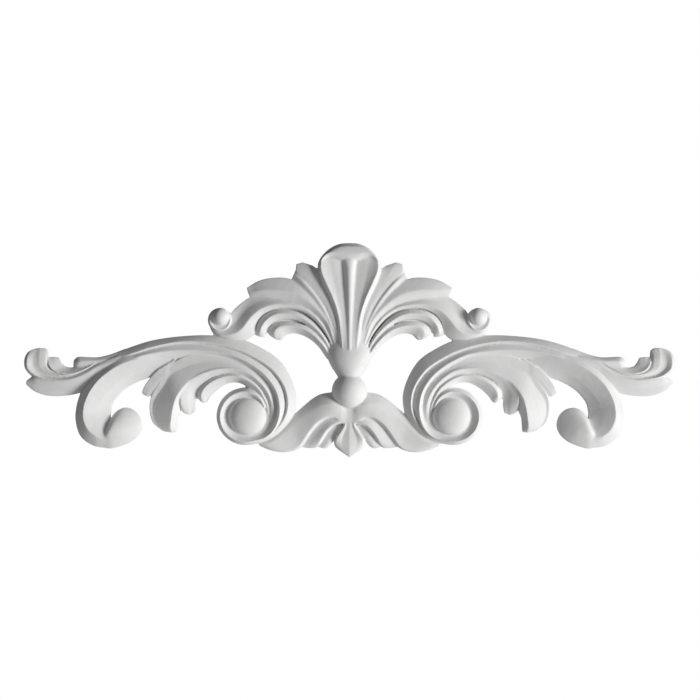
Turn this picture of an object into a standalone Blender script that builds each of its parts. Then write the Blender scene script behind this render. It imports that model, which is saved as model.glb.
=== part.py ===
"""A wide carved applique: two acanthus scrolls, a palmette above, a bead and a garland between them.

The whole ornament is one cast piece with a flat back. Its frame: +X to the right, +Z up, the carved
face towards -Y, and the origin on the back plane behind the centre of the bead.

The right half is drawn and then mirrored. Every leaf is a closed loft over a few rails, and each rail
is a smooth curve through hand-set points (across, up, height above the back), all in millimetres.
All the rails of one loft have the same number of points, so that point 3 of one faces point 3 of the
next.
"""

import itertools
import math

import bmesh
import bpy
import numpy as np
from mathutils import Vector

# Driving dimensions, in millimetres. The rails below are drawn to DRAWN_HALF_WIDTH and scaled.
MM = 0.001
OVERALL_WIDTH = 652.0
DRAWN_HALF_WIDTH = 327.6
SCALE = OVERALL_WIDTH / (2 * DRAWN_HALF_WIDTH)

# Each block reaches behind the back plane, a step further than the one before it, so that no two
# faces coincide. The back is then trimmed flat.
BACK_OVERLAP = 2.0
BACK_STEP = 0.17

# Points nearer than WELD become one, faces that meet within FLAT_ANGLE degrees become one, and
# edges over SHARP_ANGLE degrees are shaded sharp.
WELD = 0.004
FLAT_ANGLE = 3.0
SHARP_ANGLE = 40.0

# Heights above the back: where the leaves' outer edges meet the wall, and each boss's foot and top
EDGE = 8.0
BEAD_FOOT = 9.5
BEAD_HEIGHT = 27.0
EYE_FOOT = 12.0
EYE_HEIGHT = 21.0
FLOOR_HEIGHT = 11.4
KNOB_HEIGHT = 19.0
PEARL_FOOT = 10.0
PEARL_HEIGHT = 19.0

BEAD_CENTRE = (0.0, -1.0)
BEAD_RADIUS = 17.8
EYE_CENTRE = (102.5, -26.5)
EYE_RADIUS = 18.5
FLOOR_RADIUS = 26.0
KNOB_CENTRE = (240.5, -39.5)
PEARL_CENTRE = (129.6, 74.0)
PEARL_RADIUS = 8.8

# The cupped disc under the pearl, from its middle to its rim
CURL_CENTRE = (130.2, 70.3)
CURL_PROFILE = [(0.0, 11.2), (8.0, 11.0), (10.4, 12.2), (12.4, EDGE)]

# The scroll's last turn round the eye: its outer edge, bevel, crest, groove and inner edge
RING_CENTRE = (104.8, -26.4)
RING_RADIUS = 29.0
RING_BEVEL = 1.8
RING_STEP = 2.6
CREST_CENTRE = (105.0, -27.0)
CREST_RADIUS = 25.0
GROOVE_RADIUS = 22.3
INNER_RADIUS = 18.8
RING_TURN = range(-90, 91, 30)

# How many sides and rings the bosses have, and stations and rails the knob and the calyx
BOSS_SIDES = {"eye": 24, "bead": 20, "curl": 18, "pearl": 14}
BOSS_RINGS = 5
KNOB_STATIONS = 23
KNOB_RINGS = (1.0, 0.84, 0.66, 0.46, 0.24)
KNOB_FALL = 1.7
CALYX_RAILS = 9
CALYX_STATIONS = 8

PAINT_COLOUR = (0.82, 0.82, 0.80, 1.0)
PAINT_ROUGHNESS = 0.55


def arc(centre, radius, height, angles):
    """Points on a circle at the given angles in degrees, all at one height."""
    points = []
    for angle in angles:
        turn = math.radians(angle)
        across = centre[0] + radius * math.cos(turn)
        up = centre[1] + radius * math.sin(turn)
        points.append((across, up, height))
    return points


# The big scroll: two parallel bands that run from the arm over the top, down the outside of the
# volute and round its eye. Rails go from the outline inwards.
SCROLL = [
    [(248, 32.8, 8), (225, 41.5, 8), (200, 49.5, 8), (172, 53.8, 8), (140, 55, 8.5), (110, 51.3, 9),
     (88, 42, 9), (69, 28.5, 9), (57.3, 8, 9), (53.6, -8, 9), (56, -24, 9), (64, -38, 9),
     (78, -49.5, 9)]
    + arc(RING_CENTRE, RING_RADIUS, 9, RING_TURN)
    + [(96, 1, 10.5), (87.5, -6, 12), (82.8, -17, 12.5)],
    [(246, 27.5, 9.5), (222, 35.5, 14), (198, 43, 15), (171, 48.3, 15.5), (141, 47.5, 16),
     (114, 41, 16.5), (94, 32, 17), (77, 20, 17), (65.6, 4, 17), (62, -10, 17), (63.2, -23, 16),
     (70, -36, 14), (81, -46.8, 12.5)]
    + arc(RING_CENTRE, RING_RADIUS - RING_BEVEL, 12.5, RING_TURN)
    + [(96.3, -0.6, 13), (88.2, -7, 13.5), (83.5, -17.5, 13)],
    [(245.5, 25.5, 9.5), (221.3, 33.8, 13.2), (197.5, 41.2, 12.8), (170.8, 46.4, 12.6),
     (141.2, 45.6, 12.8), (114.9, 39.2, 13), (95.4, 30.6, 13), (78.7, 18.8, 13), (67.6, 3.4, 13),
     (64.1, -10, 13), (65.2, -22.5, 12.5), (71.5, -35, 12.3), (82, -45.9, 13.4)]
    + arc(RING_CENTRE, RING_RADIUS - RING_STEP, 14.3, RING_TURN)
    + [(96.5, -1.6, 14.5), (88.8, -7.8, 14.8), (84.2, -17.8, 13.6)],
    [(243, 17, 11), (217, 31, 16), (193, 37.3, 16.5), (168, 39.4, 16.5), (142, 38.7, 17),
     (119, 35.2, 18), (101, 27, 18.5), (85.5, 15.5, 19), (74.8, 1, 19), (70.8, -12, 19),
     (70.8, -26, 18.5), (76, -40, 17.5), (87, -49.5, 16.5)]
    + arc(CREST_CENTRE, CREST_RADIUS, 16.8, RING_TURN)
    + [(97, -3.6, 17), (90, -9.2, 16), (85.4, -18.2, 14.3)],
    [(242.5, 14.5, 10.5), (216.3, 29, 13.5), (192.5, 35, 13.5), (167.8, 37, 13.2), (142, 36.4, 13.2),
     (120, 32.6, 13.2), (103, 24.4, 13), (88, 13.6, 12.5), (77.7, 0.2, 12.5), (73.8, -12, 12.5),
     (73.7, -26, 12.5), (78.5, -38.6, 13), (88.5, -47.3, 13.5)]
    + arc(CREST_CENTRE, GROOVE_RADIUS, 13.8, RING_TURN)
    + [(97.2, -6, 14), (90.7, -11, 13.5), (86.1, -18.6, 13)],
    [(240, 10, 9), (213, 24, 10.5), (190, 30, 11), (166, 32, 11), (142, 31.5, 11), (122, 29, 11),
     (106, 21, 11), (93, 9.5, 11), (84.5, -3, 11), (81, -14, 11), (80.7, -27, 11), (84, -36.5, 11),
     (92, -43.6, 11)]
    + arc(EYE_CENTRE, INNER_RADIUS, 10.5, RING_TURN)
    + [(97, -8.6, 11), (91.3, -12.6, 11.5), (87, -19, 12)],
]

# The broad acanthus leaf inside the scroll, which ends in the big drooping lobe.
LEAF = [
    [(77.5, -36, 11.6), (73.8, -18, 12.6), (76.2, -2, 12.8), (84.5, 11, 13), (99, 23, 13.2),
     (120, 32.3, 13.2), (145, 36, 12.8), (166, 33, 12.2), (181.5, 24, 11.6), (189.6, 9, 10.6),
     (199.4, -6.5, 9.4), (201.2, -20.5, 8.5), (197.8, -33, 8), (188, -41.4, 8)],
    [(78.2, -35.5, 11.6), (75.5, -17.7, 13.4), (79, -3, 14.4), (87.3, 8.5, 14.8), (102, 19.5, 14.8),
     (121, 27, 14.2), (144, 28, 13), (163, 23.8, 12), (178, 16.4, 11.4), (187.2, 3.4, 10),
     (197, -11, 8.7), (198.2, -22.4, 8.3), (194.8, -33.3, 8), (186.6, -41.8, 7.8)],
    [(79, -35, 11.4), (77.2, -17, 14.6), (81.2, -3.5, 16.6), (89.5, 7.5, 17), (104, 18, 17),
     (122, 21.5, 16.3), (143, 18, 15.4), (158, 11, 15.6), (167.5, 2, 16.8), (174, -8, 17.8),
     (177, -18, 17.4), (178.8, -28.5, 16), (179.8, -37, 13.4), (179, -43, 8.5)],
    [(80.2, -34, 11.2), (79, -16.5, 13.4), (83.2, -4.5, 15), (91.2, 6, 15), (105, 15.5, 15),
     (121.5, 17.5, 14), (140, 12.5, 13), (152, 5, 11.5), (161.5, -3, 9.5), (167.3, -12, 8),
     (169.7, -20, 7.5), (173, -28, 7.5), (173.8, -36, 7.5), (174.4, -42.4, 7.5)],
]

# The two fingers that hang from the leaf's inner side, the outer one first.
FINGER_1 = [
    [(78.6, -34.6, 11.2), (76, -17, 12.8), (80, -2, 13.5), (88.8, 9.8, 14), (104, 20.5, 14),
     (122.5, 23.8, 13.8), (140.5, 21.3, 13), (155, 15.8, 12), (166, 7, 10), (171.2, -3.5, 9),
     (171.8, -13, 8.5), (169.2, -21, 8)],
    [(79.3, -34, 11.4), (77.6, -16.5, 14.6), (81.6, -3, 16.8), (90, 8.2, 17.4), (104.5, 18.8, 17.4),
     (122, 22, 17), (139.5, 19.5, 16.5), (153.5, 14, 16), (164.2, 6, 15.5), (169.1, -3, 15),
     (169.6, -12.6, 14), (166, -23.8, 8.5)],
    [(79.9, -33.8, 11.4), (79.3, -16, 14), (83.3, -4, 15.6), (91, 6.5, 16), (105, 16.2, 16),
     (122, 19.8, 15.5), (138.5, 16.5, 14.6), (150.5, 10, 13.6), (159.5, 2.5, 12.8), (162, -5, 12),
     (162, -13.5, 11.2), (161.2, -25.2, 8)],
    [(80.6, -33.3, 11), (80.9, -15.5, 13), (84.5, -5, 14), (92, 5, 14), (105.5, 14, 14),
     (121.5, 17, 13.5), (137.5, 13.5, 12.5), (147.5, 6.5, 11), (153.5, -2, 9), (155, -8.5, 8),
     (154.8, -15, 7.5), (156, -23, 7.5)],
]
FINGER_2 = [
    [(81.2, -32.6, 11), (81, -16.5, 12.6), (84.6, -6, 13), (90.2, 3.2, 13), (100.2, 11.3, 13),
     (112, 16, 12.7), (125, 15.9, 12), (137.5, 12.4, 11), (147, 6.5, 9.5), (153.2, -0.5, 8.5),
     (153.3, -7, 8), (150.5, -11.2, 7.5)],
    [(82, -32, 11.2), (82.8, -16, 13.8), (86.3, -7, 15.4), (91.5, 1.5, 16.2), (101, 9, 16.2),
     (112, 13.8, 16), (124, 13.6, 15.5), (135, 10, 15), (143.5, 4.3, 14.5), (148.4, -2.5, 13.5),
     (149.2, -8, 12), (148.3, -12.6, 8)],
    [(82.6, -31.8, 11.2), (84, -15.5, 13.2), (87.6, -7.8, 14), (93.2, 0, 14.4), (102, 6.5, 13.8),
     (111.5, 10.6, 13), (122.5, 10.3, 12.2), (132.5, 6.3, 11.8), (140, 0.8, 11.4), (144.8, -4.8, 10.8),
     (146, -9.3, 10.2), (146.3, -13.2, 8)],
    [(83.4, -31.5, 11), (85.4, -15, 12.3), (89.2, -8.5, 12.5), (95, -1.5, 12.5), (103.5, 3.4, 11),
     (111, 7, 8), (121, 6.9, 8), (130, 2.5, 8), (136.8, -3, 8), (141, -7.5, 8), (143, -10.8, 7.5),
     (144.8, -12.7, 7.5)],
]
SMALL_LOBE = [
    [(165, 39, 8.6), (181, 27.5, 12), (190, 22.3, 11.8), (199, 14, 10.6), (206.6, 3.4, 9.4), (209, -3, 8)],
    [(169, 28, 8.4), (183, 20, 11.6), (190.5, 14, 11), (197, 7.5, 10.2), (203.5, -0.5, 9.2),
     (207.2, -5, 8)],
    [(174, 20, 8.2), (182.5, 13, 10.4), (188, 8, 9.8), (193.5, 1.5, 9), (198, -4.5, 8.4),
     (202.5, -7, 8)],
]

# The arm that leaves the scroll and hooks back into a knob.
ARM = [
    [(178, 43, 9), (196, 40.5, 11), (215, 38, 12), (234, 32, 12), (249, 22.5, 11), (260.5, 12, 9.5),
     (270, -1.5, 8.5), (275, -17, 8), (275.6, -32, 8), (270.5, -47, 8), (258, -56, 8), (243, -58.8, 8)],
    [(176, 36, 9.5), (193, 35.5, 13), (212, 31.5, 16.2), (230, 25.3, 18.4), (244, 16.7, 19.6),
     (254, 7.5, 20.4), (262, -4.5, 20.6), (266.5, -17, 20.6), (266.8, -29, 20), (262, -40, 18.6),
     (253, -47, 16.6), (243, -50.5, 14.4)],
    [(174, 29, 9.5), (190.5, 27, 11.3), (207, 22.3, 12.3), (222, 15.3, 13.2), (235, 5.8, 13.8),
     (244, -3, 14.2), (250.5, -12.5, 14.4), (253.5, -22, 14.6), (253, -31.5, 15.2), (250.5, -38.5, 15.2),
     (246.5, -43.5, 14.8), (241, -46.5, 14)],
    [(172, 22, 9), (188, 19, 9.2), (201.5, 12.6, 8.5), (213.5, 8, 8), (225, 1.7, 8), (233.2, -5.8, 8),
     (238.8, -14, 8), (240.6, -22.5, 8.5), (240.5, -30, 10.5), (240.5, -36, 12), (240, -40.5, 13),
     (237.5, -43.5, 13.5)],
]
KNOB_OUTLINE = [(238.5, -25.5), (233.5, -20.6), (226.5, -17.9), (218, -19.8), (211.5, -26), (208.8, -35),
                (211.5, -44), (219, -51.5), (230, -56.5), (243, -58.9), (251, -54), (250, -46),
                (245, -38), (241, -31)]

# The tip leaf beyond the arm: a lower lobe, a cupped lobe that turns up, and two cusps.
TIP_LOWER = [
    [(221, 38.5, 10), (238, 32.5, 12.6), (254, 25.5, 13), (266, 18.5, 13), (279, 13.8, 12),
     (292, 12, 11), (305, 13, 10), (315, 14, 9), (319.6, 13.6, 8)],
    [(220, 34.5, 12.5), (237, 28.5, 14.6), (253.5, 23, 14.6), (265, 16.2, 14.8), (278.5, 11.3, 14.6),
     (292, 9.5, 14.2), (305, 9.8, 13.2), (316, 11, 11.4), (322.5, 11.5, 8)],
    [(219, 30, 12), (235, 22, 13), (251.5, 14.5, 12.4), (263.5, 8, 12), (278, 3.6, 11.7),
     (292, 2, 11.2), (305.5, 2.6, 10.6), (317, 5.5, 9.8), (325, 9.4, 8)],
    [(218, 26, 10), (233, 16, 9.5), (250, 6, 9), (262.5, 0.3, 8), (277, -4.4, 8), (292, -6.3, 8),
     (306, -5.4, 8), (318, -0.8, 8), (325.8, 5.8, 7.5)],
]
TIP_CUP = [
    [(250, 31, 11), (263, 23.5, 12), (276.5, 18.3, 12), (290, 16.6, 12), (297.5, 19, 11), (302, 24, 9.5),
     (302.8, 31, 8.5), (303.4, 39.5, 8)],
    [(251, 30, 12.5), (264, 22, 13.8), (277, 16.6, 14), (290.3, 14.9, 14), (299.3, 17.3, 13),
     (304.6, 23, 11.8), (305.8, 31, 11), (306.4, 42, 8)],
    [(252, 28.3, 12.2), (265.3, 20, 12), (278.7, 14.6, 11.6), (292.3, 13.3, 11.6), (304.3, 16.6, 12),
     (311, 23.5, 12), (312, 32, 11.6), (312, 42.4, 8.6)],
    [(253, 26.5, 12.2), (267, 18, 12), (280.7, 13, 11), (295, 12, 10.8), (310, 15.4, 10.8), (318, 23, 11),
     (318.6, 32, 10.8), (317.3, 41.4, 8.4)],
    [(254, 25.2, 12.6), (268.2, 16.5, 13), (281.7, 11.8, 13.2), (297, 11, 13.6), (313, 13.6, 14),
     (323.3, 21.3, 14), (324.3, 31.3, 12.6), (321.8, 39.4, 8.5)],
    [(254.6, 24, 11), (269, 15.3, 11), (282.4, 10.4, 10.4), (298, 9.4, 9.4), (316, 11.7, 8.2),
     (326.2, 20.8, 8), (327.4, 30.6, 8), (324.4, 37.6, 7.8)],
]
CUSP_INNER = [
    [(262, 27, 10.5), (272, 23.8, 9.5), (280.5, 22.6, 8), (287, 24.1, 8), (290.5, 28.4, 8),
     (292.3, 32.4, 7.5)],
    [(263, 24.8, 11.5), (273, 21.2, 11.2), (283, 19.4, 10.8), (291.7, 21.2, 10.4), (296.3, 26, 10.2),
     (297.8, 33.4, 8)],
    [(264, 22.8, 12.2), (274, 18.7, 13), (285, 16.9, 13.3), (295.5, 18.4, 13.3), (302, 24.4, 12.5),
     (303.6, 32.6, 8.5)],
]
CUSP_OUTER = [
    [(226, 41.4, 7.5), (242, 35.4, 8.5), (254, 32.9, 9), (264, 33.1, 9.2), (273.5, 33.2, 8.8),
     (277.6, 30, 8)],
    [(229, 35, 10), (243, 30.8, 12.2), (255, 29.4, 12.8), (265, 28.9, 13.2), (273, 28.2, 12.4),
     (278, 26.8, 8.5)],
    [(232, 30, 9.5), (246, 27, 11.8), (258, 24.8, 12), (267, 23.3, 11), (273.5, 22.4, 10),
     (277.8, 22.2, 8)],
]

# The palmette's centre lobe: half of its rails, from the middle rib outwards.
PALM_RIB = [
    [(0, 34, 21.2), (0, 42, 21.8), (0, 57, 22), (0, 75, 21.5), (0, 95, 20.4), (0, 112, 19.3),
     (0, 126, 18), (0, 138, 16.2)],
    [(1.1, 34, 21), (1.1, 42, 21.5), (1.3, 57, 21.6), (1.7, 75, 20.8), (2.3, 95, 19.4),
     (3, 112, 18), (4, 126, 16.8), (6.5, 138, 15.4)],
    [(2.2, 34, 20.5), (2.2, 42, 20.7), (2.6, 57, 20.3), (3.4, 75, 18.9), (4.5, 95, 16.7),
     (5.6, 112, 14.8), (7, 126, 13.7), (11, 138, 13.8)],
    [(4.6, 34, 20.2), (5, 42, 20.4), (6.2, 57, 20.5), (8.2, 75, 19.4), (11.8, 93, 17.8),
     (15.6, 109, 16.3), (18.4, 123, 15.3), (19.5, 136.5, 14)],
    [(6.4, 34, 20), (7, 42, 20.8), (8.6, 57, 21.6), (11, 75, 21.4), (16.4, 92, 20.8), (23.4, 107, 20),
     (28.8, 121, 18.8), (28, 132.5, 16.2)],
    [(8.6, 34, 16), (9.6, 42, 16.5), (11.4, 56, 17.5), (14, 74, 17), (19.8, 90.5, 15.5),
     (26.6, 105, 13), (31.6, 119, 9.5), (30.6, 129.4, 8.5)],
]
PALM_LIP = [
    [(-3, 128.8, 15.6), (7, 130.2, 15.2), (15, 133, 14.8), (21.5, 133.6, 15), (26, 129.5, 15.6),
     (28.4, 120, 15.2)],
    [(-3, 134.6, 17.8), (8, 136, 17.5), (16, 138, 17.2), (23.4, 136.4, 17), (28.6, 130.4, 17),
     (30, 118.5, 15)],
    [(-3, 144, 15.8), (9, 143.6, 15.6), (18, 140.6, 15.2), (25.6, 135.4, 14.6), (30.2, 128.4, 14),
     (30.9, 117, 11.5)],
    [(-3, 148, 8.5), (10, 147, 8.5), (20, 142.3, 8.5), (27.5, 135.2, 8.5), (31.6, 127.8, 8.5),
     (31.8, 115, 8)],
]

# The palmette's side lobes, from the top one down.
LOBE_A = [
    [(8.6, 40, 15), (11.5, 60, 17.3), (16, 81, 16.5), (22.5, 97, 14.5), (27.5, 110, 12),
     (31, 120.2, 9.5), (37, 125.2, 8)],
    [(9.6, 40, 15.5), (13.4, 60, 18.2), (19.2, 80, 17.2), (27, 96.5, 15.4), (35.5, 111, 13),
     (43, 122.2, 10.8), (47, 128.5, 8)],
    [(10.6, 40, 15), (15.4, 60, 17.3), (22.3, 79, 16.4), (32.5, 96, 14.6), (44.8, 111, 12.2),
     (53.6, 118.4, 9.8), (53.6, 126.6, 8)],
]
LOBE_A_STRIP = [
    [(10.2, 40, 14.5), (15, 60, 16.8), (22, 78, 16), (32, 95, 14.3), (44.5, 109.8, 12),
     (54.4, 120.4, 8.5)],
    [(11, 40, 15), (16.2, 60, 18), (23.6, 77.2, 17.8), (34, 94, 16.4), (46, 108, 14), (56, 116.6, 9)],
    [(12, 40, 14), (18.8, 59.5, 15.7), (27.8, 75, 15.2), (40, 92.5, 13.6), (51, 105, 11),
     (58.3, 111.2, 8)],
]
LOBE_B = [
    [(11.6, 39.5, 13.5), (15, 57, 15.3), (19, 73, 15), (28.5, 86, 14.3), (40, 98.5, 13),
     (50, 106.5, 11), (61, 112.2, 8.5), (76, 113, 8), (91, 110, 8), (103.5, 102.8, 8)],
    [(13, 39.3, 14.5), (17.3, 55.5, 17.8), (22.5, 68.5, 18), (31, 79.5, 17.5), (42, 89.5, 16.8),
     (53, 96, 16), (66, 99.5, 15), (80, 100.5, 13.5), (92, 99.8, 11.5), (102.4, 98.4, 8)],
    [(14.4, 39, 13), (19.6, 54.2, 15.3), (25.5, 65.8, 15), (34.5, 75, 14.5), (45.5, 83, 14),
     (58, 88.5, 13.3), (71, 91, 12), (83, 92, 10.5), (92, 93, 9), (100, 93.2, 7.8)],
]
LOBE_C = [
    [(14.2, 39, 12.8), (19.1, 54.8, 14.8), (24.8, 67, 14.5), (33.5, 77.5, 14), (45, 86, 13.5),
     (58, 91.8, 12.5), (74.5, 94.8, 11), (88, 94.7, 9.5), (100, 93.2, 8), (109.5, 87, 8),
     (117.8, 79, 8.5), (121.5, 71.5, 9.8), (128, 67, 10.6), (135.5, 67.5, 10.4), (141.6, 71.5, 8)],
    [(14.9, 38.9, 13), (19.9, 53.6, 15), (25.8, 65.3, 15), (34.6, 75.6, 14.7), (46, 83.7, 14.3),
     (59.3, 88.3, 13.5), (75, 90, 12.5), (88.5, 88.5, 11.3), (99.5, 84, 10.3), (106.5, 77.5, 9.8),
     (112, 70.5, 9.8), (118, 64.5, 10.3), (126, 61.5, 10.5), (134.5, 62.5, 10.3), (141, 67, 8)],
    [(15.6, 38.7, 14), (20.6, 52.8, 16.3), (26.8, 63.8, 16.5), (35.5, 74, 16.2), (47, 81.7, 16),
     (60.5, 85.2, 15.8), (75, 85.6, 15.5), (88, 81.8, 15), (97, 75, 15), (103, 68, 15), (108, 61.5, 15),
     (114.5, 57, 14.5), (123, 55.3, 13.5), (133, 56.5, 11.5), (140, 61.5, 8.5)],
    [(16.2, 38.5, 12.5), (21.5, 52, 14.3), (28, 62.2, 14.3), (37, 72, 14), (48, 79, 13.5), (61, 82, 13),
     (74, 81.5, 12.5), (85, 77.3, 11.5), (91.5, 71, 10.5), (94.5, 64, 9.5), (96, 56.5, 8.5),
     (102, 51, 8.5), (112, 48, 9), (124, 49.5, 8.5), (136, 54.5, 8.5)],
]
LOBE_D = [
    [(16.4, 37.8, 12), (22.8, 51.2, 13.8), (30, 61.3, 13.8), (39, 70.5, 13.5), (50, 77.5, 13),
     (62, 80.5, 12.5), (74, 80, 11.5), (84, 76, 10.5), (90.5, 69.5, 9.5), (94, 62, 8.5),
     (95.8, 55.5, 8)],
    [(17.6, 37.2, 14), (24.2, 50, 16.3), (31.5, 59.5, 16.7), (41, 68, 16.7), (51, 74.3, 16.5),
     (62, 77, 16.2), (72.5, 76.5, 15.8), (81, 72.5, 15.3), (86.8, 66.5, 14.5), (89.8, 60, 13),
     (90.8, 53.6, 8.5)],
    [(18.8, 36.5, 12), (25.6, 48.8, 13.8), (33.2, 57.8, 13.8), (42.5, 65, 13.3), (52, 69.6, 13),
     (62, 71, 12.5), (71, 70.3, 12), (78.3, 67, 11), (82.5, 62.3, 9.5), (84, 57.5, 8.5), (85.3, 53, 8)],
]
LOBE_E = [
    [(17, 34, 12), (25.8, 48.4, 13.6), (34, 57.5, 13.5), (43.5, 64.3, 13), (53.5, 67.5, 12.5),
     (63, 68.7, 12), (72, 67.3, 11), (79, 63.5, 9.5), (82.4, 58, 8), (80, 54.6, 8)],
    [(18.4, 33, 14), (27.3, 46, 16.2), (35.5, 54.5, 16.3), (44.5, 60.8, 16), (54, 63.8, 15.7),
     (62.5, 64.8, 15.3), (69.5, 63.7, 14.8), (74.5, 60.5, 14.3), (76, 56.5, 12.5), (75, 51.3, 8.5)],
    [(20.4, 32, 11.5), (29.6, 43.8, 12), (37, 51, 11.5), (45.5, 56.5, 11), (54, 59.5, 11), (61, 60, 11),
     (66, 58.8, 11), (69.3, 56.5, 11), (71, 54, 10), (71.5, 50.1, 8)],
    [(22.6, 31, 8.5), (30.8, 42.8, 8.5), (38, 49.6, 8.5), (46, 54.4, 8), (54, 56.8, 8), (60, 56.6, 8),
     (63.8, 55, 8), (66, 53, 8), (67.3, 51.5, 8), (69, 50.2, 8)],
]

# The smooth bulb under the palmette, from the neck up: (up, half width, height of the crown)
CALYX = [(13, 11.5, 19.5), (18, 14.8, 20.6), (24, 18.6, 21.8), (31, 21.6, 22.3), (37, 22.6, 21.9),
         (43, 21.6, 20.6), (50, 18.5, 18.6), (57, 14, 16)]

# The garland below the bead, from the middle outwards.
GARLAND = [
    [(-3, -4, 10), (3, -4, 10), (9, -3, 10), (18.2, -2.5, 9.5), (29, -4.3, 8.5), (37, -8.6, 8),
     (44, -14.2, 8), (51.5, -20.8, 8), (57, -26, 8.5), (64, -35, 9), (72, -44, 9.5), (81, -50.5, 9.5),
     (91, -53.6, 9)],
    [(-3, -18.6, 14.4), (3, -18.6, 14.4), (8.6, -16.5, 16.4), (17.5, -14, 17.5), (27, -14.8, 16),
     (36, -19.5, 14.2), (44, -26, 12.8), (51.5, -33, 12), (59, -40.5, 11.6), (67, -47.5, 11.6),
     (75, -52.6, 11.6), (83, -55, 11), (91, -55, 9)],
    [(-3, -29, 14), (3, -28.6, 14.2), (8.6, -27.4, 15.6), (15.5, -26, 16.4), (24, -27.5, 16.6),
     (31.5, -32, 15.8), (38.8, -39.6, 14.6), (44.6, -48.2, 13), (50.8, -56.4, 10.8), (58, -60, 9.5),
     (67.5, -61.3, 9), (79, -59.4, 9), (90, -55.6, 8.6)],
    [(-3, -35.5, 13.4), (3, -35, 13.6), (8.6, -33, 14.4), (14.2, -28.6, 14.8), (22.8, -29, 13.2),
     (30, -33.5, 12), (37.2, -41, 11), (42.9, -49.4, 9.8), (49, -57.6, 8.2),
     (57.5, -61.6, 7.5), (68, -62.8, 7.5), (80, -60.6, 7.5), (90.6, -56.2, 7.5)],
]
GARLAND_LOBE = [
    [(8.6, -29, 13.8), (15, -27.4, 13.4), (23.3, -28.4, 12), (30.6, -33, 11), (37.6, -40.6, 10),
     (43.4, -49.2, 9), (49, -57.4, 7.5)],
    [(8.6, -31, 14.3), (14, -30.6, 14.4), (21, -33, 14), (27.4, -38.6, 13), (33, -46, 11.8),
     (37.8, -53, 10.2), (42, -58.6, 7.5)],
    [(8.6, -33.4, 14.6), (12.2, -33.6, 15.4), (17.6, -36, 15.6), (22.8, -40.9, 15),
     (27.2, -47.3, 13.8), (31, -53.8, 11.4), (34.6, -58.6, 7.5)],
    [(8.4, -34.6, 9.4), (11.8, -35.2, 9.2), (16.4, -37.8, 9.2), (21.3, -42.4, 9.2),
     (25.6, -48.5, 9), (29.2, -54.4, 8.6), (32, -57.2, 7.5)],
    [(7.4, -36.6, 8.6), (11, -38.8, 8.8), (15, -42.6, 9.8), (18.6, -47.4, 10.6), (21.6, -52.4, 10.6),
     (24, -56, 9.8), (26, -59, 7.5)],
    [(6.4, -38.6, 8.3), (9.4, -42, 8.4), (12.6, -45.6, 8.9), (15.2, -49.6, 9.3), (17.6, -53.4, 9.3),
     (19.8, -56.2, 8.6), (22.6, -58.4, 7.5)],
]
PENDANT_HALF = [
    [(0, -27, 13), (0, -36, 14.4), (0, -44, 15), (0, -52, 14.4), (0, -60, 12.2), (0, -67.8, 8)],
    [(2.6, -28, 13), (3, -36, 13.9), (5.4, -43, 14), (7.6, -50.4, 13.4), (6.6, -58.4, 11.2),
     (0.7, -67.5, 8)],
    [(4.6, -29.6, 13.4), (5.4, -36.4, 15), (9.4, -42.8, 15.4), (13.4, -49.6, 14.4),
     (13.4, -56, 10.6), (1.4, -67.2, 8)],
    [(5.6, -30.6, 11.6), (6.8, -37, 10.6), (11, -43.2, 9.6), (15.2, -49.8, 8.8), (14.6, -56.8, 7.8),
     (2.4, -66.4, 7.5)],
]

# Low webs that close the ground between the lobes: outlines at one height, inside the leaves' own
WEB_HEIGHT = 8.2
PALM_WEB = [(-3, 42), (20, 42), (30, 50), (40, 57), (50, 61), (60, 63), (70, 61), (80, 58), (88, 57),
            (95, 57), (104, 54), (112, 53), (112, 75), (105, 85), (97, 92), (85, 100), (60, 104), (45, 110),
            (38, 118), (32, 116), (30.4, 124), (28.4, 132), (24, 137), (16, 140), (-3, 142)]
GARLAND_WEB = [(-3, -12), (12, -14), (30, -20), (45, -30), (60, -45), (75, -52), (75, -58), (60, -59),
               (50, -55), (40, -52), (30, -50), (20, -48), (12, -46), (-3, -50)]
FINGER_WEB = [(80, -16), (79, 0), (88, 12), (104, 20), (122, 21), (140, 18), (153, 10), (160, 1),
              (158, -9), (154, -9.5), (151, -5), (146, 0), (139, 6), (131, 10), (121, 12), (110, 11.5),
              (101, 8), (94, 3), (89, -4), (86, -11), (85, -16)]
CUSP_WEB = [(268, 18), (280, 20.8), (287, 21.8), (292, 26), (300, 28), (305, 22), (298, 13), (282, 13)]

# How many stations each loft has along its rails
STATIONS = {
    "scroll": 46, "leaf": 24, "finger_1": 20, "finger_2": 18, "small_lobe": 7, "arm": 18,
    "tip_lower": 12, "tip_cup": 15, "cusp_inner": 9, "cusp_outer": 7, "palm": 11, "palm_lip": 10,
    "lobe_a": 9, "lobe_a_strip": 9, "lobe_b": 14, "lobe_c": 22, "lobe_d": 16, "lobe_e": 16,
    "garland": 17, "garland_lobe": 9, "pendant": 9,
}


def clear_scene():
    """Start from an empty file, whatever is open."""
    for item in list(bpy.data.objects):
        bpy.data.objects.remove(item, do_unlink=True)


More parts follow.
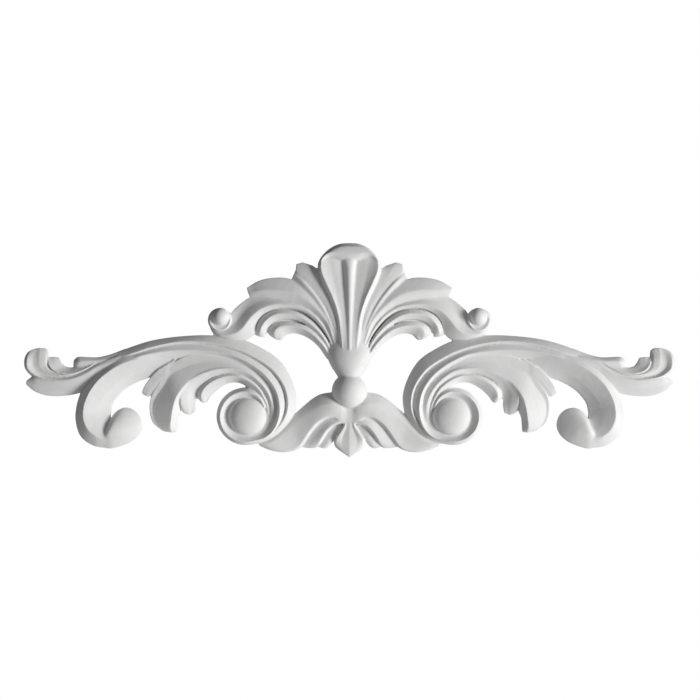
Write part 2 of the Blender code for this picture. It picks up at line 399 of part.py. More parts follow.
def spline_through(points, shares):
    """A smooth curve through points of shape (rails, keys, 3), read at the given shares of its length."""
    gaps = np.linalg.norm(np.diff(points, axis=1), axis=2).mean(axis=0)
    knots = np.concatenate([[0.0], np.cumsum(np.sqrt(gaps))])
    slopes = np.diff(points, axis=1) / np.diff(knots)[None, :, None]
    spans = np.diff(knots)
    tangents = np.empty_like(points)
    tangents[:, 0] = slopes[:, 0]
    tangents[:, -1] = slopes[:, -1]
    before = spans[:-1][None, :, None]
    after = spans[1:][None, :, None]
    tangents[:, 1:-1] = (slopes[:, :-1] * after + slopes[:, 1:] * before) / (before + after)
    lengths = np.concatenate([[0.0], np.cumsum(gaps)])
    at = np.interp(shares * lengths[-1], lengths, knots)
    cell = np.clip(np.searchsorted(knots, at, side="right") - 1, 0, len(spans) - 1)
    span = spans[cell]
    t = ((at - knots[cell]) / span)[None, :, None]
    span = span[None, :, None]
    start = points[:, cell]
    end = points[:, cell + 1]
    leave = tangents[:, cell] * span
    arrive = tangents[:, cell + 1] * span
    return ((2 * t ** 3 - 3 * t ** 2 + 1) * start + (t ** 3 - 2 * t ** 2 + t) * leave
            + (3 * t ** 2 - 2 * t ** 3) * end + (t ** 3 - t ** 2) * arrive)


def place(across, up, height):
    """A design point in the part's own frame, in metres."""
    return Vector((across * MM * SCALE, -height * MM, up * MM * SCALE))


def close_grid(name, grid, depth):
    """A closed solid under a grid of design points: walls straight back and one flat face behind."""
    steps, rails, _ = grid.shape
    shape = bmesh.new()
    rows = []
    for row in grid:
        rows.append([shape.verts.new(place(*point)) for point in row])
    for i in range(steps - 1):
        for j in range(rails - 1):
            shape.faces.new((rows[i][j], rows[i][j + 1], rows[i + 1][j + 1], rows[i + 1][j]))
    rim = [row[0] for row in rows]
    rim += rows[-1][1:]
    rim += [row[-1] for row in reversed(rows[:-1])]
    rim += list(reversed(rows[0][1:-1]))
    behind = [shape.verts.new((v.co.x, depth * MM, v.co.z)) for v in rim]
    for i in range(len(rim)):
        nxt = (i + 1) % len(rim)
        shape.faces.new((rim[i], rim[nxt], behind[nxt], behind[i]))
    shape.faces.new(behind)
    return finish_solid(name, shape)


def finish_solid(name, shape):
    """Weld, face the normals outwards and keep the shape as a hidden building block."""
    bmesh.ops.remove_doubles(shape, verts=shape.verts, dist=WELD * MM)
    bmesh.ops.triangulate(shape, faces=[f for f in shape.faces if len(f.verts) > 3])
    bmesh.ops.recalc_face_normals(shape, faces=shape.faces)
    if shape.calc_volume() < 0:
        bmesh.ops.reverse_faces(shape, faces=shape.faces)
    mesh = bpy.data.meshes.new(name)
    shape.to_mesh(mesh)
    shape.free()
    block = bpy.data.objects.new(name, mesh)
    block.hide_render = True
    block.display_type = 'WIRE'
    return block


def loft(name, rails, depth):
    """A closed leaf over rails that all have the same number of points."""
    shares = np.linspace(0.0, 1.0, STATIONS[name])
    curves = spline_through(np.array(rails, dtype=float), shares)
    return close_grid(name, curves.transpose(1, 0, 2), depth)


def web(name, outline, depth):
    """A low flat slab with the given outline."""
    shape = bmesh.new()
    top = [shape.verts.new(place(across, up, WEB_HEIGHT)) for across, up in outline]
    behind = [shape.verts.new((v.co.x, depth * MM, v.co.z)) for v in top]
    for i in range(len(top)):
        nxt = (i + 1) % len(top)
        shape.faces.new((top[i], top[nxt], behind[nxt], behind[i]))
    shape.faces.new(top)
    shape.faces.new(behind)
    return finish_solid(name, shape)


def both_sides(rails):
    """Rails given from the middle outwards, completed with their mirror images."""
    left = [[(-x, z, h) for x, z, h in rail] for rail in reversed(rails[1:])]
    return left + rails


def dome(name, centre, profile, sides, depth):
    """A round boss turned from (radius, height) pairs, the middle first."""
    shape = bmesh.new()
    rings = []
    for radius, height in profile[1:]:
        ring = []
        for k in range(sides):
            turn = 2 * math.pi * (k + 0.5) / sides
            across = centre[0] + radius * math.cos(turn)
            up = centre[1] + radius * math.sin(turn)
            ring.append(shape.verts.new(place(across, up, height)))
        rings.append(ring)
    top = shape.verts.new(place(centre[0], centre[1], profile[0][1]))
    behind = [shape.verts.new((v.co.x, depth * MM, v.co.z)) for v in rings[-1]]
    rings.append(behind)
    for k in range(sides):
        nxt = (k + 1) % sides
        shape.faces.new((top, rings[0][k], rings[0][nxt]))
        for inner, outer in zip(rings, rings[1:]):
            shape.faces.new((inner[k], outer[k], outer[nxt], inner[nxt]))
    shape.faces.new(behind)
    return finish_solid(name, shape)


def round_profile(radius, top, foot):
    """Pairs of radius and height on a quarter of an ellipse that falls from the top to the foot."""
    pairs = []
    for k in range(BOSS_RINGS + 1):
        turn = 0.5 * math.pi * k / BOSS_RINGS
        pairs.append((radius * math.sin(turn), foot + (top - foot) * math.cos(turn)))
    return pairs


def knob(depth):
    """The scroll arm's knob: a soft mound whose rings shrink towards its centre."""
    shares = np.linspace(0.0, 1.0, KNOB_STATIONS)
    outline = np.array([(x, z, EDGE) for x, z in KNOB_OUTLINE + KNOB_OUTLINE[:1]], dtype=float)
    edge = spline_through(outline[None], shares)[0][:-1]
    middle = np.array([KNOB_CENTRE[0], KNOB_CENTRE[1], KNOB_HEIGHT])
    rings = []
    for share in KNOB_RINGS:
        ring = edge.copy()
        ring[:, :2] = middle[:2] + (edge[:, :2] - middle[:2]) * share
        ring[:, 2] = EDGE + (KNOB_HEIGHT - EDGE) * (1 - share ** KNOB_FALL)
        rings.append(ring)
    shape = bmesh.new()
    loops = [[shape.verts.new(place(*point)) for point in ring] for ring in rings]
    top = shape.verts.new(place(*middle))
    behind = [shape.verts.new((v.co.x, depth * MM, v.co.z)) for v in loops[0]]
    loops.insert(0, behind)
    for k in range(len(behind)):
        nxt = (k + 1) % len(behind)
        for outer, inner in zip(loops, loops[1:]):
            shape.faces.new((outer[k], outer[nxt], inner[nxt], inner[k]))
        shape.faces.new((loops[-1][k], loops[-1][nxt], top))
    shape.faces.new(behind)
    return finish_solid("knob", shape)


def calyx(depth):
    """The smooth bulb under the palmette: half-round sections stacked up the neck."""
    rails = []
    for k in range(CALYX_RAILS):
        turn = math.pi * (k / (CALYX_RAILS - 1) - 0.5)
        rail = []
        for up, half, crown in CALYX:
            rail.append((half * math.sin(turn), up, EDGE + (crown - EDGE) * math.cos(turn)))
        rails.append(rail)
    curves = spline_through(np.array(rails, dtype=float), np.linspace(0.0, 1.0, CALYX_STATIONS))
    return close_grid("calyx", curves.transpose(1, 0, 2), depth)


def building_blocks():
    """Every leaf, lobe and boss of the right half, with the middle ones whole."""
    lofts = [
        ("scroll", SCROLL), ("leaf", LEAF), ("finger_1", FINGER_1), ("finger_2", FINGER_2),
        ("small_lobe", SMALL_LOBE), ("arm", ARM), ("tip_lower", TIP_LOWER), ("tip_cup", TIP_CUP),
        ("cusp_inner", CUSP_INNER), ("cusp_outer", CUSP_OUTER), ("palm", both_sides(PALM_RIB)),
        ("palm_lip", PALM_LIP), ("lobe_a", LOBE_A), ("lobe_a_strip", LOBE_A_STRIP), ("lobe_b", LOBE_B),
        ("lobe_c", LOBE_C), ("lobe_d", LOBE_D), ("lobe_e", LOBE_E), ("garland", GARLAND),
        ("garland_lobe", GARLAND_LOBE), ("pendant", both_sides(PENDANT_HALF)),
    ]
    eye = round_profile(EYE_RADIUS, EYE_HEIGHT, EYE_FOOT)
    eye.append((FLOOR_RADIUS, FLOOR_HEIGHT))
    bosses = [
        ("eye", EYE_CENTRE, eye),
        ("bead", BEAD_CENTRE, round_profile(BEAD_RADIUS, BEAD_HEIGHT, BEAD_FOOT)),
        ("curl", CURL_CENTRE, CURL_PROFILE),
        ("pearl", PEARL_CENTRE, round_profile(PEARL_RADIUS, PEARL_HEIGHT, PEARL_FOOT)),
    ]
    depths = itertools.count(BACK_OVERLAP, BACK_STEP)
    blocks = []
    for name, rails in lofts:
        blocks.append(loft(name, rails, next(depths)))
    blocks.append(web("palm_web", PALM_WEB, next(depths)))
    blocks.append(web("garland_web", GARLAND_WEB, next(depths)))
    blocks.append(web("finger_web", FINGER_WEB, next(depths)))
    blocks.append(web("cusp_web", CUSP_WEB, next(depths)))
    blocks.append(knob(next(depths)))
    blocks.append(calyx(next(depths)))
    for name, centre, profile in bosses:
        blocks.append(dome(name, centre, profile, BOSS_SIDES[name], next(depths)))
    return blocks


def unite(blocks):
    """The union of all the blocks as one mesh."""
    group = bpy.data.collections.new("blocks")
    bpy.context.scene.collection.children.link(group)
    for block in blocks[1:]:
        group.objects.link(block)
    base = blocks[0]
    bpy.context.scene.collection.objects.link(base)
    join = base.modifiers.new("join", 'BOOLEAN')
    join.operation = 'UNION'
    join.operand_type = 'COLLECTION'
    join.collection = group
    join.solver = 'EXACT'
    depsgraph = bpy.context.evaluated_depsgraph_get()
    united = bpy.data.meshes.new_from_object(base.evaluated_get(depsgraph))
    for block in blocks:
        bpy.data.objects.remove(block, do_unlink=True)
    bpy.data.collections.remove(group)
    return united


def cut_away(shape, normal):
    """Cut by a plane through the origin and drop the side that the normal points to."""
    geometry = shape.verts[:] + shape.edges[:] + shape.faces[:]
    bmesh.ops.bisect_plane(shape, geom=geometry, dist=0.001 * MM, plane_co=(0, 0, 0), plane_no=normal,
                           clear_outer=True)


def halve_and_mirror(mesh):
    """Keep the right half, trim the back flat and weld on the mirrored half."""
    shape = bmesh.new()
    shape.from_mesh(mesh)
    cut_away(shape, (0, 1, 0))
    cut_away(shape, (-1, 0, 0))
    for vert in shape.verts:
        if abs(vert.co.x) < WELD * MM:
            vert.co.x = 0.0
        if abs(vert.co.y) < WELD * MM:
            vert.co.y = 0.0
    bmesh.ops.dissolve_limit(shape, angle_limit=math.radians(FLAT_ANGLE), verts=shape.verts,
                             edges=shape.edges, use_dissolve_boundaries=False)
    copy = bmesh.ops.duplicate(shape, geom=shape.verts[:] + shape.edges[:] + shape.faces[:])
    twins = [item for item in copy["geom"] if isinstance(item, bmesh.types.BMVert)]
    for vert in twins:
        vert.co.x = -vert.co.x
    flipped = [item for item in copy["geom"] if isinstance(item, bmesh.types.BMFace)]
    bmesh.ops.reverse_faces(shape, faces=flipped)
    bmesh.ops.remove_doubles(shape, verts=shape.verts, dist=WELD * MM)
    open_edges = [edge for edge in shape.edges if edge.is_boundary]
    bmesh.ops.triangle_fill(shape, edges=open_edges, use_beauty=True, use_dissolve=False)
    bmesh.ops.triangulate(shape, faces=shape.faces)
    bmesh.ops.recalc_face_normals(shape, faces=shape.faces)
    whole = bpy.data.meshes.new("applique")
    shape.to_mesh(whole)
    shape.free()
    return whole


def painted_white():
    """Soft white paint over the cast body."""
    material = bpy.data.materials.new("painted_casting")
    material.use_nodes = True
    shader = material.node_tree.nodes["Principled BSDF"]
    shader.inputs["Base Color"].default_value = PAINT_COLOUR
    shader.inputs["Roughness"].default_value = PAINT_ROUGHNESS
    shader.inputs["Metallic"].default_value = 0.0
    return material


def main():
    clear_scene()
    united = unite(building_blocks())
    mesh = halve_and_mirror(united)
    mesh.materials.append(painted_white())
    mesh.set_sharp_from_angle(angle=math.radians(SHARP_ANGLE))
    applique = bpy.data.objects.new("applique", mesh)
    bpy.context.scene.collection.objects.link(applique)


main()
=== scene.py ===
"""The looks of the carved applique: the casting lofted finely, with soft creases, under matt white paint.

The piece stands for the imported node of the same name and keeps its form. Its right half is drawn and
then mirrored. Every leaf is a closed loft over the same rails as the solid's, with more stations along
them and a slight swell or hollow between them. The leaves are then joined into one skin by voxels.
Design points are in millimetres: (across, up, height above the back). The studio is in metres.
"""

import math

import bmesh
import bpy
import numpy as np
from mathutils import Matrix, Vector


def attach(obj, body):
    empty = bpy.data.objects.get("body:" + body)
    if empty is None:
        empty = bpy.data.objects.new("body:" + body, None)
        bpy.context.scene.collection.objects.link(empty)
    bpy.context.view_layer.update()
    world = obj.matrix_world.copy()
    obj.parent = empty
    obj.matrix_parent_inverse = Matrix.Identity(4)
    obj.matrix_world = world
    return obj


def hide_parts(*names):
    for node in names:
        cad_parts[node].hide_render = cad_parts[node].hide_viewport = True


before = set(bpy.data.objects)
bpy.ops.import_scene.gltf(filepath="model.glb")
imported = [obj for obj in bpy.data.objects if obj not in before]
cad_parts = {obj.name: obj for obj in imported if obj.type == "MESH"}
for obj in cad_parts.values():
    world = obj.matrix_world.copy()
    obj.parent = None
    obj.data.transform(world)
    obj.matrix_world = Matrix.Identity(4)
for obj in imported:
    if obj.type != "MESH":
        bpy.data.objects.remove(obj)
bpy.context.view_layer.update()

# One millimetre in metres, and the scale from the drawn half width to the real overall width
MM = 0.001
OVERALL_WIDTH = 652.0
DRAWN_HALF_WIDTH = 327.6
SCALE = OVERALL_WIDTH / (2 * DRAWN_HALF_WIDTH)

# Heights: the flat back, where every leaf ends, the usual top of the side walls, each boss's foot and
# top, and the floor round the eye
BACK = 0.0
EDGE = 8.0
BEAD_FOOT = 9.5
BEAD_HEIGHT = 26.9
EYE_FOOT = 12.0
EYE_HEIGHT = 21.0
FLOOR_HEIGHT = 11.4
KNOB_HEIGHT = 19.0
PEARL_FOOT = 10.0
PEARL_HEIGHT = 19.0

# Middles and radii of the round bosses
BEAD_CENTRE = (0.0, -1.0)
BEAD_RADIUS = 17.8
EYE_CENTRE = (102.5, -26.5)
EYE_RADIUS = 18.5
FLOOR_RADIUS = 26.0
PEARL_CENTRE = (129.6, 74.0)
PEARL_RADIUS = 8.8

# The knob's middle, and the power by which it falls from there to its edge
KNOB_CENTRE = (240.5, -39.5)
KNOB_FALL = 1.7

# The cupped disc under the pearl, from its middle to its rim: (radius, height)
CURL_CENTRE = (130.2, 70.3)
CURL_PROFILE = [(0.0, 11.2), (8.0, 11.0), (10.4, 12.2), (12.4, EDGE)]

# The scroll's last turn round the eye: its outer edge, bevel, crest, groove and inner edge
RING_CENTRE = (104.8, -26.4)
RING_RADIUS = 29.0
RING_BEVEL = 1.8
RING_STEP = 2.6
CREST_CENTRE = (105.0, -27.0)
CREST_RADIUS = 25.0
GROOVE_RADIUS = 22.3
INNER_RADIUS = 18.8
RING_TURN = range(-90, 91, 30)

# How finely the leaves and bosses are drawn: the widest gap between stations along them and between
# slices across them, and the least number of stations, slices and sides
STATION_GAP = 1.6
SLICE_GAP = 1.2
LEAST_STATIONS = 8
LEAST_SLICES = 2
LEAST_SIDES = 24
QUARTER_ROUND_STEPS = 13

# The knob's points round its outline, its rings and the smallest ring's share of the outline, and the
# bulb's points across and stations up
KNOB_POINTS = 90
KNOB_RINGS = 12
KNOB_LEAST_SHARE = 0.1
BULB_POINTS = 33
BULB_STATIONS = 30

# The skin: its voxels, how often and how much it is smoothed, and how many triangles half of it keeps
VOXEL = 0.6
SMOOTH_TIMES = 3
SMOOTH_FACTOR = 0.5
HALF_TRIANGLES = 92000

# Places whose creases are softer: middle across and up, half width, half height, how many times.
# Only what stands higher than the soft height is changed there.
SOFT_PLACES = [(36, 65, 46, 48, 6), (242, -41, 12, 19, 30), (183, 20, 8, 9, 8), (0, 95, 12, 42, 12)]
SOFT_HEIGHT = 9.0

# How near the back a point counts as on it, how exact the cut and the weld at the middle are, and how
# squarely a face of the back looks backwards
BACK_WITHIN = 0.4
CUT_WITHIN = 0.001
WELD_WITHIN = 0.01
LOOKS_BACK = 0.99

# The paint's range of tones, of the painted shade that darkens its hollows and creases, and of roughness,
# each with the span of noise or of hollowness over which it runs
WHITE = (1.0, 1.0, 1.0, 1.0)
TONES = ((0.80, 0.80, 0.795, 1.0), (0.86, 0.86, 0.855, 1.0))
CREASE_SHADE_TONES = ((0.70, 0.70, 0.69, 1.0), WHITE)
ROUGHNESS = ((0.50, 0.50, 0.50, 1.0), (0.66, 0.66, 0.66, 1.0))
NOISE_SPAN = (0.3, 0.7)
CREASE_SHADE_SPAN = (0.42, 0.495)
SPECULAR = 0.25

# Noise as (scale, detail), and bumps as (strength, depth in metres)
TONE_NOISE = (28.0, 4.0)
ROUGHNESS_NOISE = (60.0, 3.0)
FINE_NOISE = (900.0, 4.0)
FINE_BUMP = (0.25, 0.00015)
BROAD_NOISE = (120.0, 3.0)
BROAD_BUMP = (0.5, 0.0006)

# A Mix node's colour sockets by number, because its sockets for numbers have the same names
MIX_FIRST = 6
MIX_SECOND = 7
MIX_RESULT = 2

# The ground: half its side, its level, colour, roughness and glow
GROUND_HALF = 2.0
GROUND_LEVEL = -1.5
GROUND_COLOUR = (0.85, 0.85, 0.85, 1.0)
GROUND_ROUGHNESS = 0.8
GROUND_GLOW = 0.18

# The white surroundings' strength as light and as the camera sees them, and the lamps as (name, watts,
# side, place)
AMBIENT = 0.115
BACKDROP = 1.0
LAMPS = [("key", 340.0, 1.8, (5.10, -3.15, -0.50)), ("behind", 70.0, 2.0, (0.9, 3.4, 1.3))]

# The camera: lens and sensor in millimetres, then in metres the width that it sees at its aim, the
# aim's place across and up, how far before the back it lies, and the end of the camera's view
LENS = 135.0
SENSOR = 36.0
VIEW_WIDTH = 0.700
AIM = (0.0005, 0.040)
AIM_DEPTH = 0.012
CLIP_END = 20.0


def arc(centre, radius, height, angles):
    """Points on a circle at the given angles in degrees, all at one height."""
    points = []
    for angle in angles:
        turn = math.radians(angle)
        across = centre[0] + radius * math.cos(turn)
        up = centre[1] + radius * math.sin(turn)
        points.append((across, up, height))
    return points


# The big scroll: two parallel bands that run from the arm over the top, down the outside of the
# volute and round its eye. Rails go from the outline inwards.
SCROLL = [
    [(248, 32.8, 8), (225, 41.5, 8), (200, 49.5, 8), (172, 53.8, 8), (140, 55, 8.5), (110, 51.3, 9),
     (88, 42, 9), (69, 28.5, 9), (57.3, 8, 9), (53.6, -8, 9), (56, -24, 9), (64, -38, 9),
     (78, -49.5, 9)]
    + arc(RING_CENTRE, RING_RADIUS, 9, RING_TURN)
    + [(96, 1, 10.5), (87.5, -6, 12), (82.8, -17, 12.5)],
    [(246, 27.5, 9.5), (222, 35.5, 14), (198, 43, 15), (171, 48.3, 15.5), (141, 47.5, 16),
     (114, 41, 16.5), (94, 32, 17), (77, 20, 17), (65.6, 4, 17), (62, -10, 17), (63.2, -23, 16),
     (70, -36, 14), (81, -46.8, 12.5)]
    + arc(RING_CENTRE, RING_RADIUS - RING_BEVEL, 12.5, RING_TURN)
    + [(96.3, -0.6, 13), (88.2, -7, 13.5), (83.5, -17.5, 13)],
    [(245.5, 25.5, 9.5), (221.3, 33.8, 13.2), (197.5, 41.2, 12.8), (170.8, 46.4, 12.6),
     (141.2, 45.6, 12.8), (114.9, 39.2, 13), (95.4, 30.6, 13), (78.7, 18.8, 13), (67.6, 3.4, 13),
     (64.1, -10, 13), (65.2, -22.5, 12.5), (71.5, -35, 12.3), (82, -45.9, 13.4)]
    + arc(RING_CENTRE, RING_RADIUS - RING_STEP, 14.3, RING_TURN)
    + [(96.5, -1.6, 14.5), (88.8, -7.8, 14.8), (84.2, -17.8, 13.6)],
    [(243, 17, 11), (217, 31, 16), (193, 37.3, 16.5), (168, 39.4, 16.5), (142, 38.7, 17),
     (119, 35.2, 18), (101, 27, 18.5), (85.5, 15.5, 19), (74.8, 1, 19), (70.8, -12, 19),
     (70.8, -26, 18.5), (76, -40, 17.5), (87, -49.5, 16.5)]
    + arc(CREST_CENTRE, CREST_RADIUS, 16.8, RING_TURN)
    + [(97, -3.6, 17), (90, -9.2, 16), (85.4, -18.2, 14.3)],
    [(242.5, 14.5, 10.5), (216.3, 29, 13.5), (192.5, 35, 13.5), (167.8, 37, 13.2), (142, 36.4, 13.2),
     (120, 32.6, 13.2), (103, 24.4, 13), (88, 13.6, 12.5), (77.7, 0.2, 12.5), (73.8, -12, 12.5),
     (73.7, -26, 12.5), (78.5, -38.6, 13), (88.5, -47.3, 13.5)]
    + arc(CREST_CENTRE, GROOVE_RADIUS, 13.8, RING_TURN)
    + [(97.2, -6, 14), (90.7, -11, 13.5), (86.1, -18.6, 13)],
    [(240, 10, 9), (213, 24, 10.5), (190, 30, 11), (166, 32, 11), (142, 31.5, 11), (122, 29, 11),
     (106, 21, 11), (93, 9.5, 11), (84.5, -3, 11), (81, -14, 11), (80.7, -27, 11), (84, -36.5, 11),
     (92, -43.6, 11)]
    + arc(EYE_CENTRE, INNER_RADIUS, 10.5, RING_TURN)
    + [(97, -8.6, 11), (91.3, -12.6, 11.5), (87, -19, 12)],
]

# The broad acanthus leaf inside the scroll, which ends in the big drooping lobe.
LEAF = [
    [(77.5, -36, 11.6), (73.8, -18, 12.6), (76.2, -2, 12.8), (84.5, 11, 13), (99, 23, 13.2),
     (120, 32.3, 13.2), (145, 36, 12.8), (166, 33, 12.2), (181.5, 24, 11.6), (189.6, 9, 10.6),
     (199.4, -6.5, 9.4), (201.2, -20.5, 8.5), (197.8, -33, 8), (188, -41.4, 8)],
    [(78.2, -35.5, 11.6), (75.5, -17.7, 13.4), (79, -3, 14.4), (87.3, 8.5, 14.8), (102, 19.5, 14.8),
     (121, 27, 14.2), (144, 28, 13), (163, 23.8, 12), (178, 16.4, 11.4), (187.2, 3.4, 10),
     (197, -11, 8.7), (198.2, -22.4, 8.3), (194.8, -33.3, 8), (186.6, -41.8, 7.8)],
    [(79, -35, 11.4), (77.2, -17, 14.6), (81.2, -3.5, 16.6), (89.5, 7.5, 17), (104, 18, 17),
     (122, 21.5, 16.3), (143, 18, 15.4), (158, 11, 15.6), (167.5, 2, 16.8), (174, -8, 17.8),
     (177, -18, 17.4), (178.8, -28.5, 16), (179.8, -37, 13.4), (179, -43, 8.5)],
    [(80.2, -34, 11.2), (79, -16.5, 13.4), (83.2, -4.5, 15), (91.2, 6, 15), (105, 15.5, 15),
     (121.5, 17.5, 14), (140, 12.5, 13), (152, 5, 11.5), (161.5, -3, 9.5), (167.3, -12, 8),
     (169.7, -20, 7.5), (173, -28, 7.5), (173.8, -36, 7.5), (174.4, -42.4, 7.5)],
]

# The two fingers that hang from the leaf's inner side, the outer one first.
FINGER_1 = [
    [(78.6, -34.6, 11.2), (76, -17, 12.8), (80, -2, 13.5), (88.8, 9.8, 14), (104, 20.5, 14),
     (122.5, 23.8, 13.8), (140.5, 21.3, 13), (155, 15.8, 12), (166, 7, 10), (171.2, -3.5, 9),
     (171.8, -13, 8.5), (169.2, -21, 8)],
    [(79.3, -34, 11.4), (77.6, -16.5, 14.6), (81.6, -3, 16.8), (90, 8.2, 17.4), (104.5, 18.8, 17.4),
     (122, 22, 17), (139.5, 19.5, 16.5), (153.5, 14, 16), (164.2, 6, 15.5), (169.1, -3, 15),
     (169.6, -12.6, 14), (166, -23.8, 8.5)],
    [(79.9, -33.8, 11.4), (79.3, -16, 14), (83.3, -4, 15.6), (91, 6.5, 16), (105, 16.2, 16),
     (122, 19.8, 15.5), (138.5, 16.5, 14.6), (150.5, 10, 13.6), (159.5, 2.5, 12.8), (162, -5, 12),
     (162, -13.5, 11.2), (161.2, -25.2, 8)],
    [(80.6, -33.3, 11), (80.9, -15.5, 13), (84.5, -5, 14), (92, 5, 14), (105.5, 14, 14),
     (121.5, 17, 13.5), (137.5, 13.5, 12.5), (147.5, 6.5, 11), (153.5, -2, 9), (155, -8.5, 8),
     (154.8, -15, 7.5), (156, -23, 7.5)],
]
FINGER_2 = [
    [(81.2, -32.6, 11), (81, -16.5, 12.6), (84.6, -6, 13), (90.2, 3.2, 13), (100.2, 11.3, 13),
     (112, 16, 12.7), (125, 15.9, 12), (137.5, 12.4, 11), (147, 6.5, 9.5), (153.2, -0.5, 8.5),
     (153.3, -7, 8), (150.5, -11.2, 7.5)],
    [(82, -32, 11.2), (82.8, -16, 13.8), (86.3, -7, 15.4), (91.5, 1.5, 16.2), (101, 9, 16.2),
     (112, 13.8, 16), (124, 13.6, 15.5), (135, 10, 15), (143.5, 4.3, 14.5), (148.4, -2.5, 13.5),
     (149.2, -8, 12), (148.3, -12.6, 8)],
    [(82.6, -31.8, 11.2), (84, -15.5, 13.2), (87.6, -7.8, 14), (93.2, 0, 14.4), (102, 6.5, 13.8),
     (111.5, 10.6, 13), (122.5, 10.3, 12.2), (132.5, 6.3, 11.8), (140, 0.8, 11.4), (144.8, -4.8, 10.8),
     (146, -9.3, 10.2), (146.3, -13.2, 8)],
    [(83.4, -31.5, 11), (85.4, -15, 12.3), (89.2, -8.5, 12.5), (95, -1.5, 12.5), (103.5, 3.4, 11),
     (111, 7, 8), (121, 6.9, 8), (130, 2.5, 8), (136.8, -3, 8), (141, -7.5, 8), (143, -10.8, 7.5),
     (144.8, -12.7, 7.5)],
]
SMALL_LOBE = [
    [(165, 39, 8.6), (181, 27.5, 12), (190, 22.3, 11.8), (199, 14, 10.6), (206.6, 3.4, 9.4), (209, -3, 8)],
    [(169, 28, 8.4), (183, 20, 11.6), (190.5, 14, 11), (197, 7.5, 10.2), (203.5, -0.5, 9.2),
     (207.2, -5, 8)],
    [(174, 20, 8.2), (182.5, 13, 10.4), (188, 8, 9.8), (193.5, 1.5, 9), (198, -4.5, 8.4),
     (202.5, -7, 8)],
]

# The arm that leaves the scroll and hooks back into a knob.
ARM = [
    [(178, 43, 9), (196, 40.5, 11), (215, 38, 12), (234, 32, 12), (249, 22.5, 11), (260.5, 12, 9.5),
     (270, -1.5, 8.5), (275, -17, 8), (275.6, -32, 8), (270.5, -47, 8), (258, -56, 8), (243, -58.8, 8)],
    [(176, 36, 9.5), (193, 35.5, 13), (212, 31.5, 16.2), (230, 25.3, 18.4), (244, 16.7, 19.6),
     (254, 7.5, 20.4), (262, -4.5, 20.6), (266.5, -17, 20.6), (266.8, -29, 20), (262, -40, 18.6),
     (253, -47, 16.6), (243, -50.5, 14.4)],
    [(174, 29, 9.5), (190.5, 27, 11.3), (207, 22.3, 12.3), (222, 15.3, 13.2), (235, 5.8, 13.8),
     (244, -3, 14.2), (250.5, -12.5, 14.4), (253.5, -22, 14.6), (253, -31.5, 15.2), (250.5, -38.5, 15.2),
     (246.5, -43.5, 14.8), (241, -46.5, 14)],
    [(172, 22, 9), (188, 19, 9.2), (201.5, 12.6, 8.5), (213.5, 8, 8), (225, 1.7, 8), (233.2, -5.8, 8),
     (238.8, -14, 8), (240.6, -22.5, 8.5), (240.5, -30, 10.5), (240.5, -36, 12), (240, -40.5, 13),
     (237.5, -43.5, 13.5)],
]
KNOB_OUTLINE = [(238.5, -25.5), (233.5, -20.6), (226.5, -17.9), (218, -19.8), (211.5, -26), (208.8, -35),
                (211.5, -44), (219, -51.5), (230, -56.5), (243, -58.9), (251, -54), (250, -46),
                (245, -38), (241, -31)]

# The tip leaf beyond the arm: a lower lobe, a cupped lobe that turns up, and two cusps.
TIP_LOWER = [
    [(221, 38.5, 10), (238, 32.5, 12.6), (254, 25.5, 13), (266, 18.5, 13), (279, 13.8, 12),
     (292, 12, 11), (305, 13, 10), (315, 14, 9), (319.6, 13.6, 8)],
    [(220, 34.5, 12.5), (237, 28.5, 14.6), (253.5, 23, 14.6), (265, 16.2, 14.8), (278.5, 11.3, 14.6),
     (292, 9.5, 14.2), (305, 9.8, 13.2), (316, 11, 11.4), (322.5, 11.5, 8)],
    [(219, 30, 12), (235, 22, 13), (251.5, 14.5, 12.4), (263.5, 8, 12), (278, 3.6, 11.7),
     (292, 2, 11.2), (305.5, 2.6, 10.6), (317, 5.5, 9.8), (325, 9.4, 8)],
    [(218, 26, 10), (233, 16, 9.5), (250, 6, 9), (262.5, 0.3, 8), (277, -4.4, 8), (292, -6.3, 8),
     (306, -5.4, 8), (318, -0.8, 8), (325.8, 5.8, 7.5)],
]
TIP_CUP = [
    [(250, 31, 11), (263, 23.5, 12), (276.5, 18.3, 12), (290, 16.6, 12), (297.5, 19, 11), (302, 24, 9.5),
     (302.8, 31, 8.5), (303.4, 39.5, 8)],
    [(251, 30, 12.5), (264, 22, 13.8), (277, 16.6, 14), (290.3, 14.9, 14), (299.3, 17.3, 13),
     (304.6, 23, 11.8), (305.8, 31, 11), (306.4, 42, 8)],
    [(252, 28.3, 12.2), (265.3, 20, 12), (278.7, 14.6, 11.6), (292.3, 13.3, 11.6), (304.3, 16.6, 12),
     (311, 23.5, 12), (312, 32, 11.6), (312, 42.4, 8.6)],
    [(253, 26.5, 12.2), (267, 18, 12), (280.7, 13, 11), (295, 12, 10.8), (310, 15.4, 10.8), (318, 23, 11),
     (318.6, 32, 10.8), (317.3, 41.4, 8.4)],
    [(254, 25.2, 12.6), (268.2, 16.5, 13), (281.7, 11.8, 13.2), (297, 11, 13.6), (313, 13.6, 14),
     (323.3, 21.3, 14), (324.3, 31.3, 12.6), (321.8, 39.4, 8.5)],
    [(254.6, 24, 11), (269, 15.3, 11), (282.4, 10.4, 10.4), (298, 9.4, 9.4), (316, 11.7, 8.2),
     (326.2, 20.8, 8), (327.4, 30.6, 8), (324.4, 37.6, 7.8)],
]
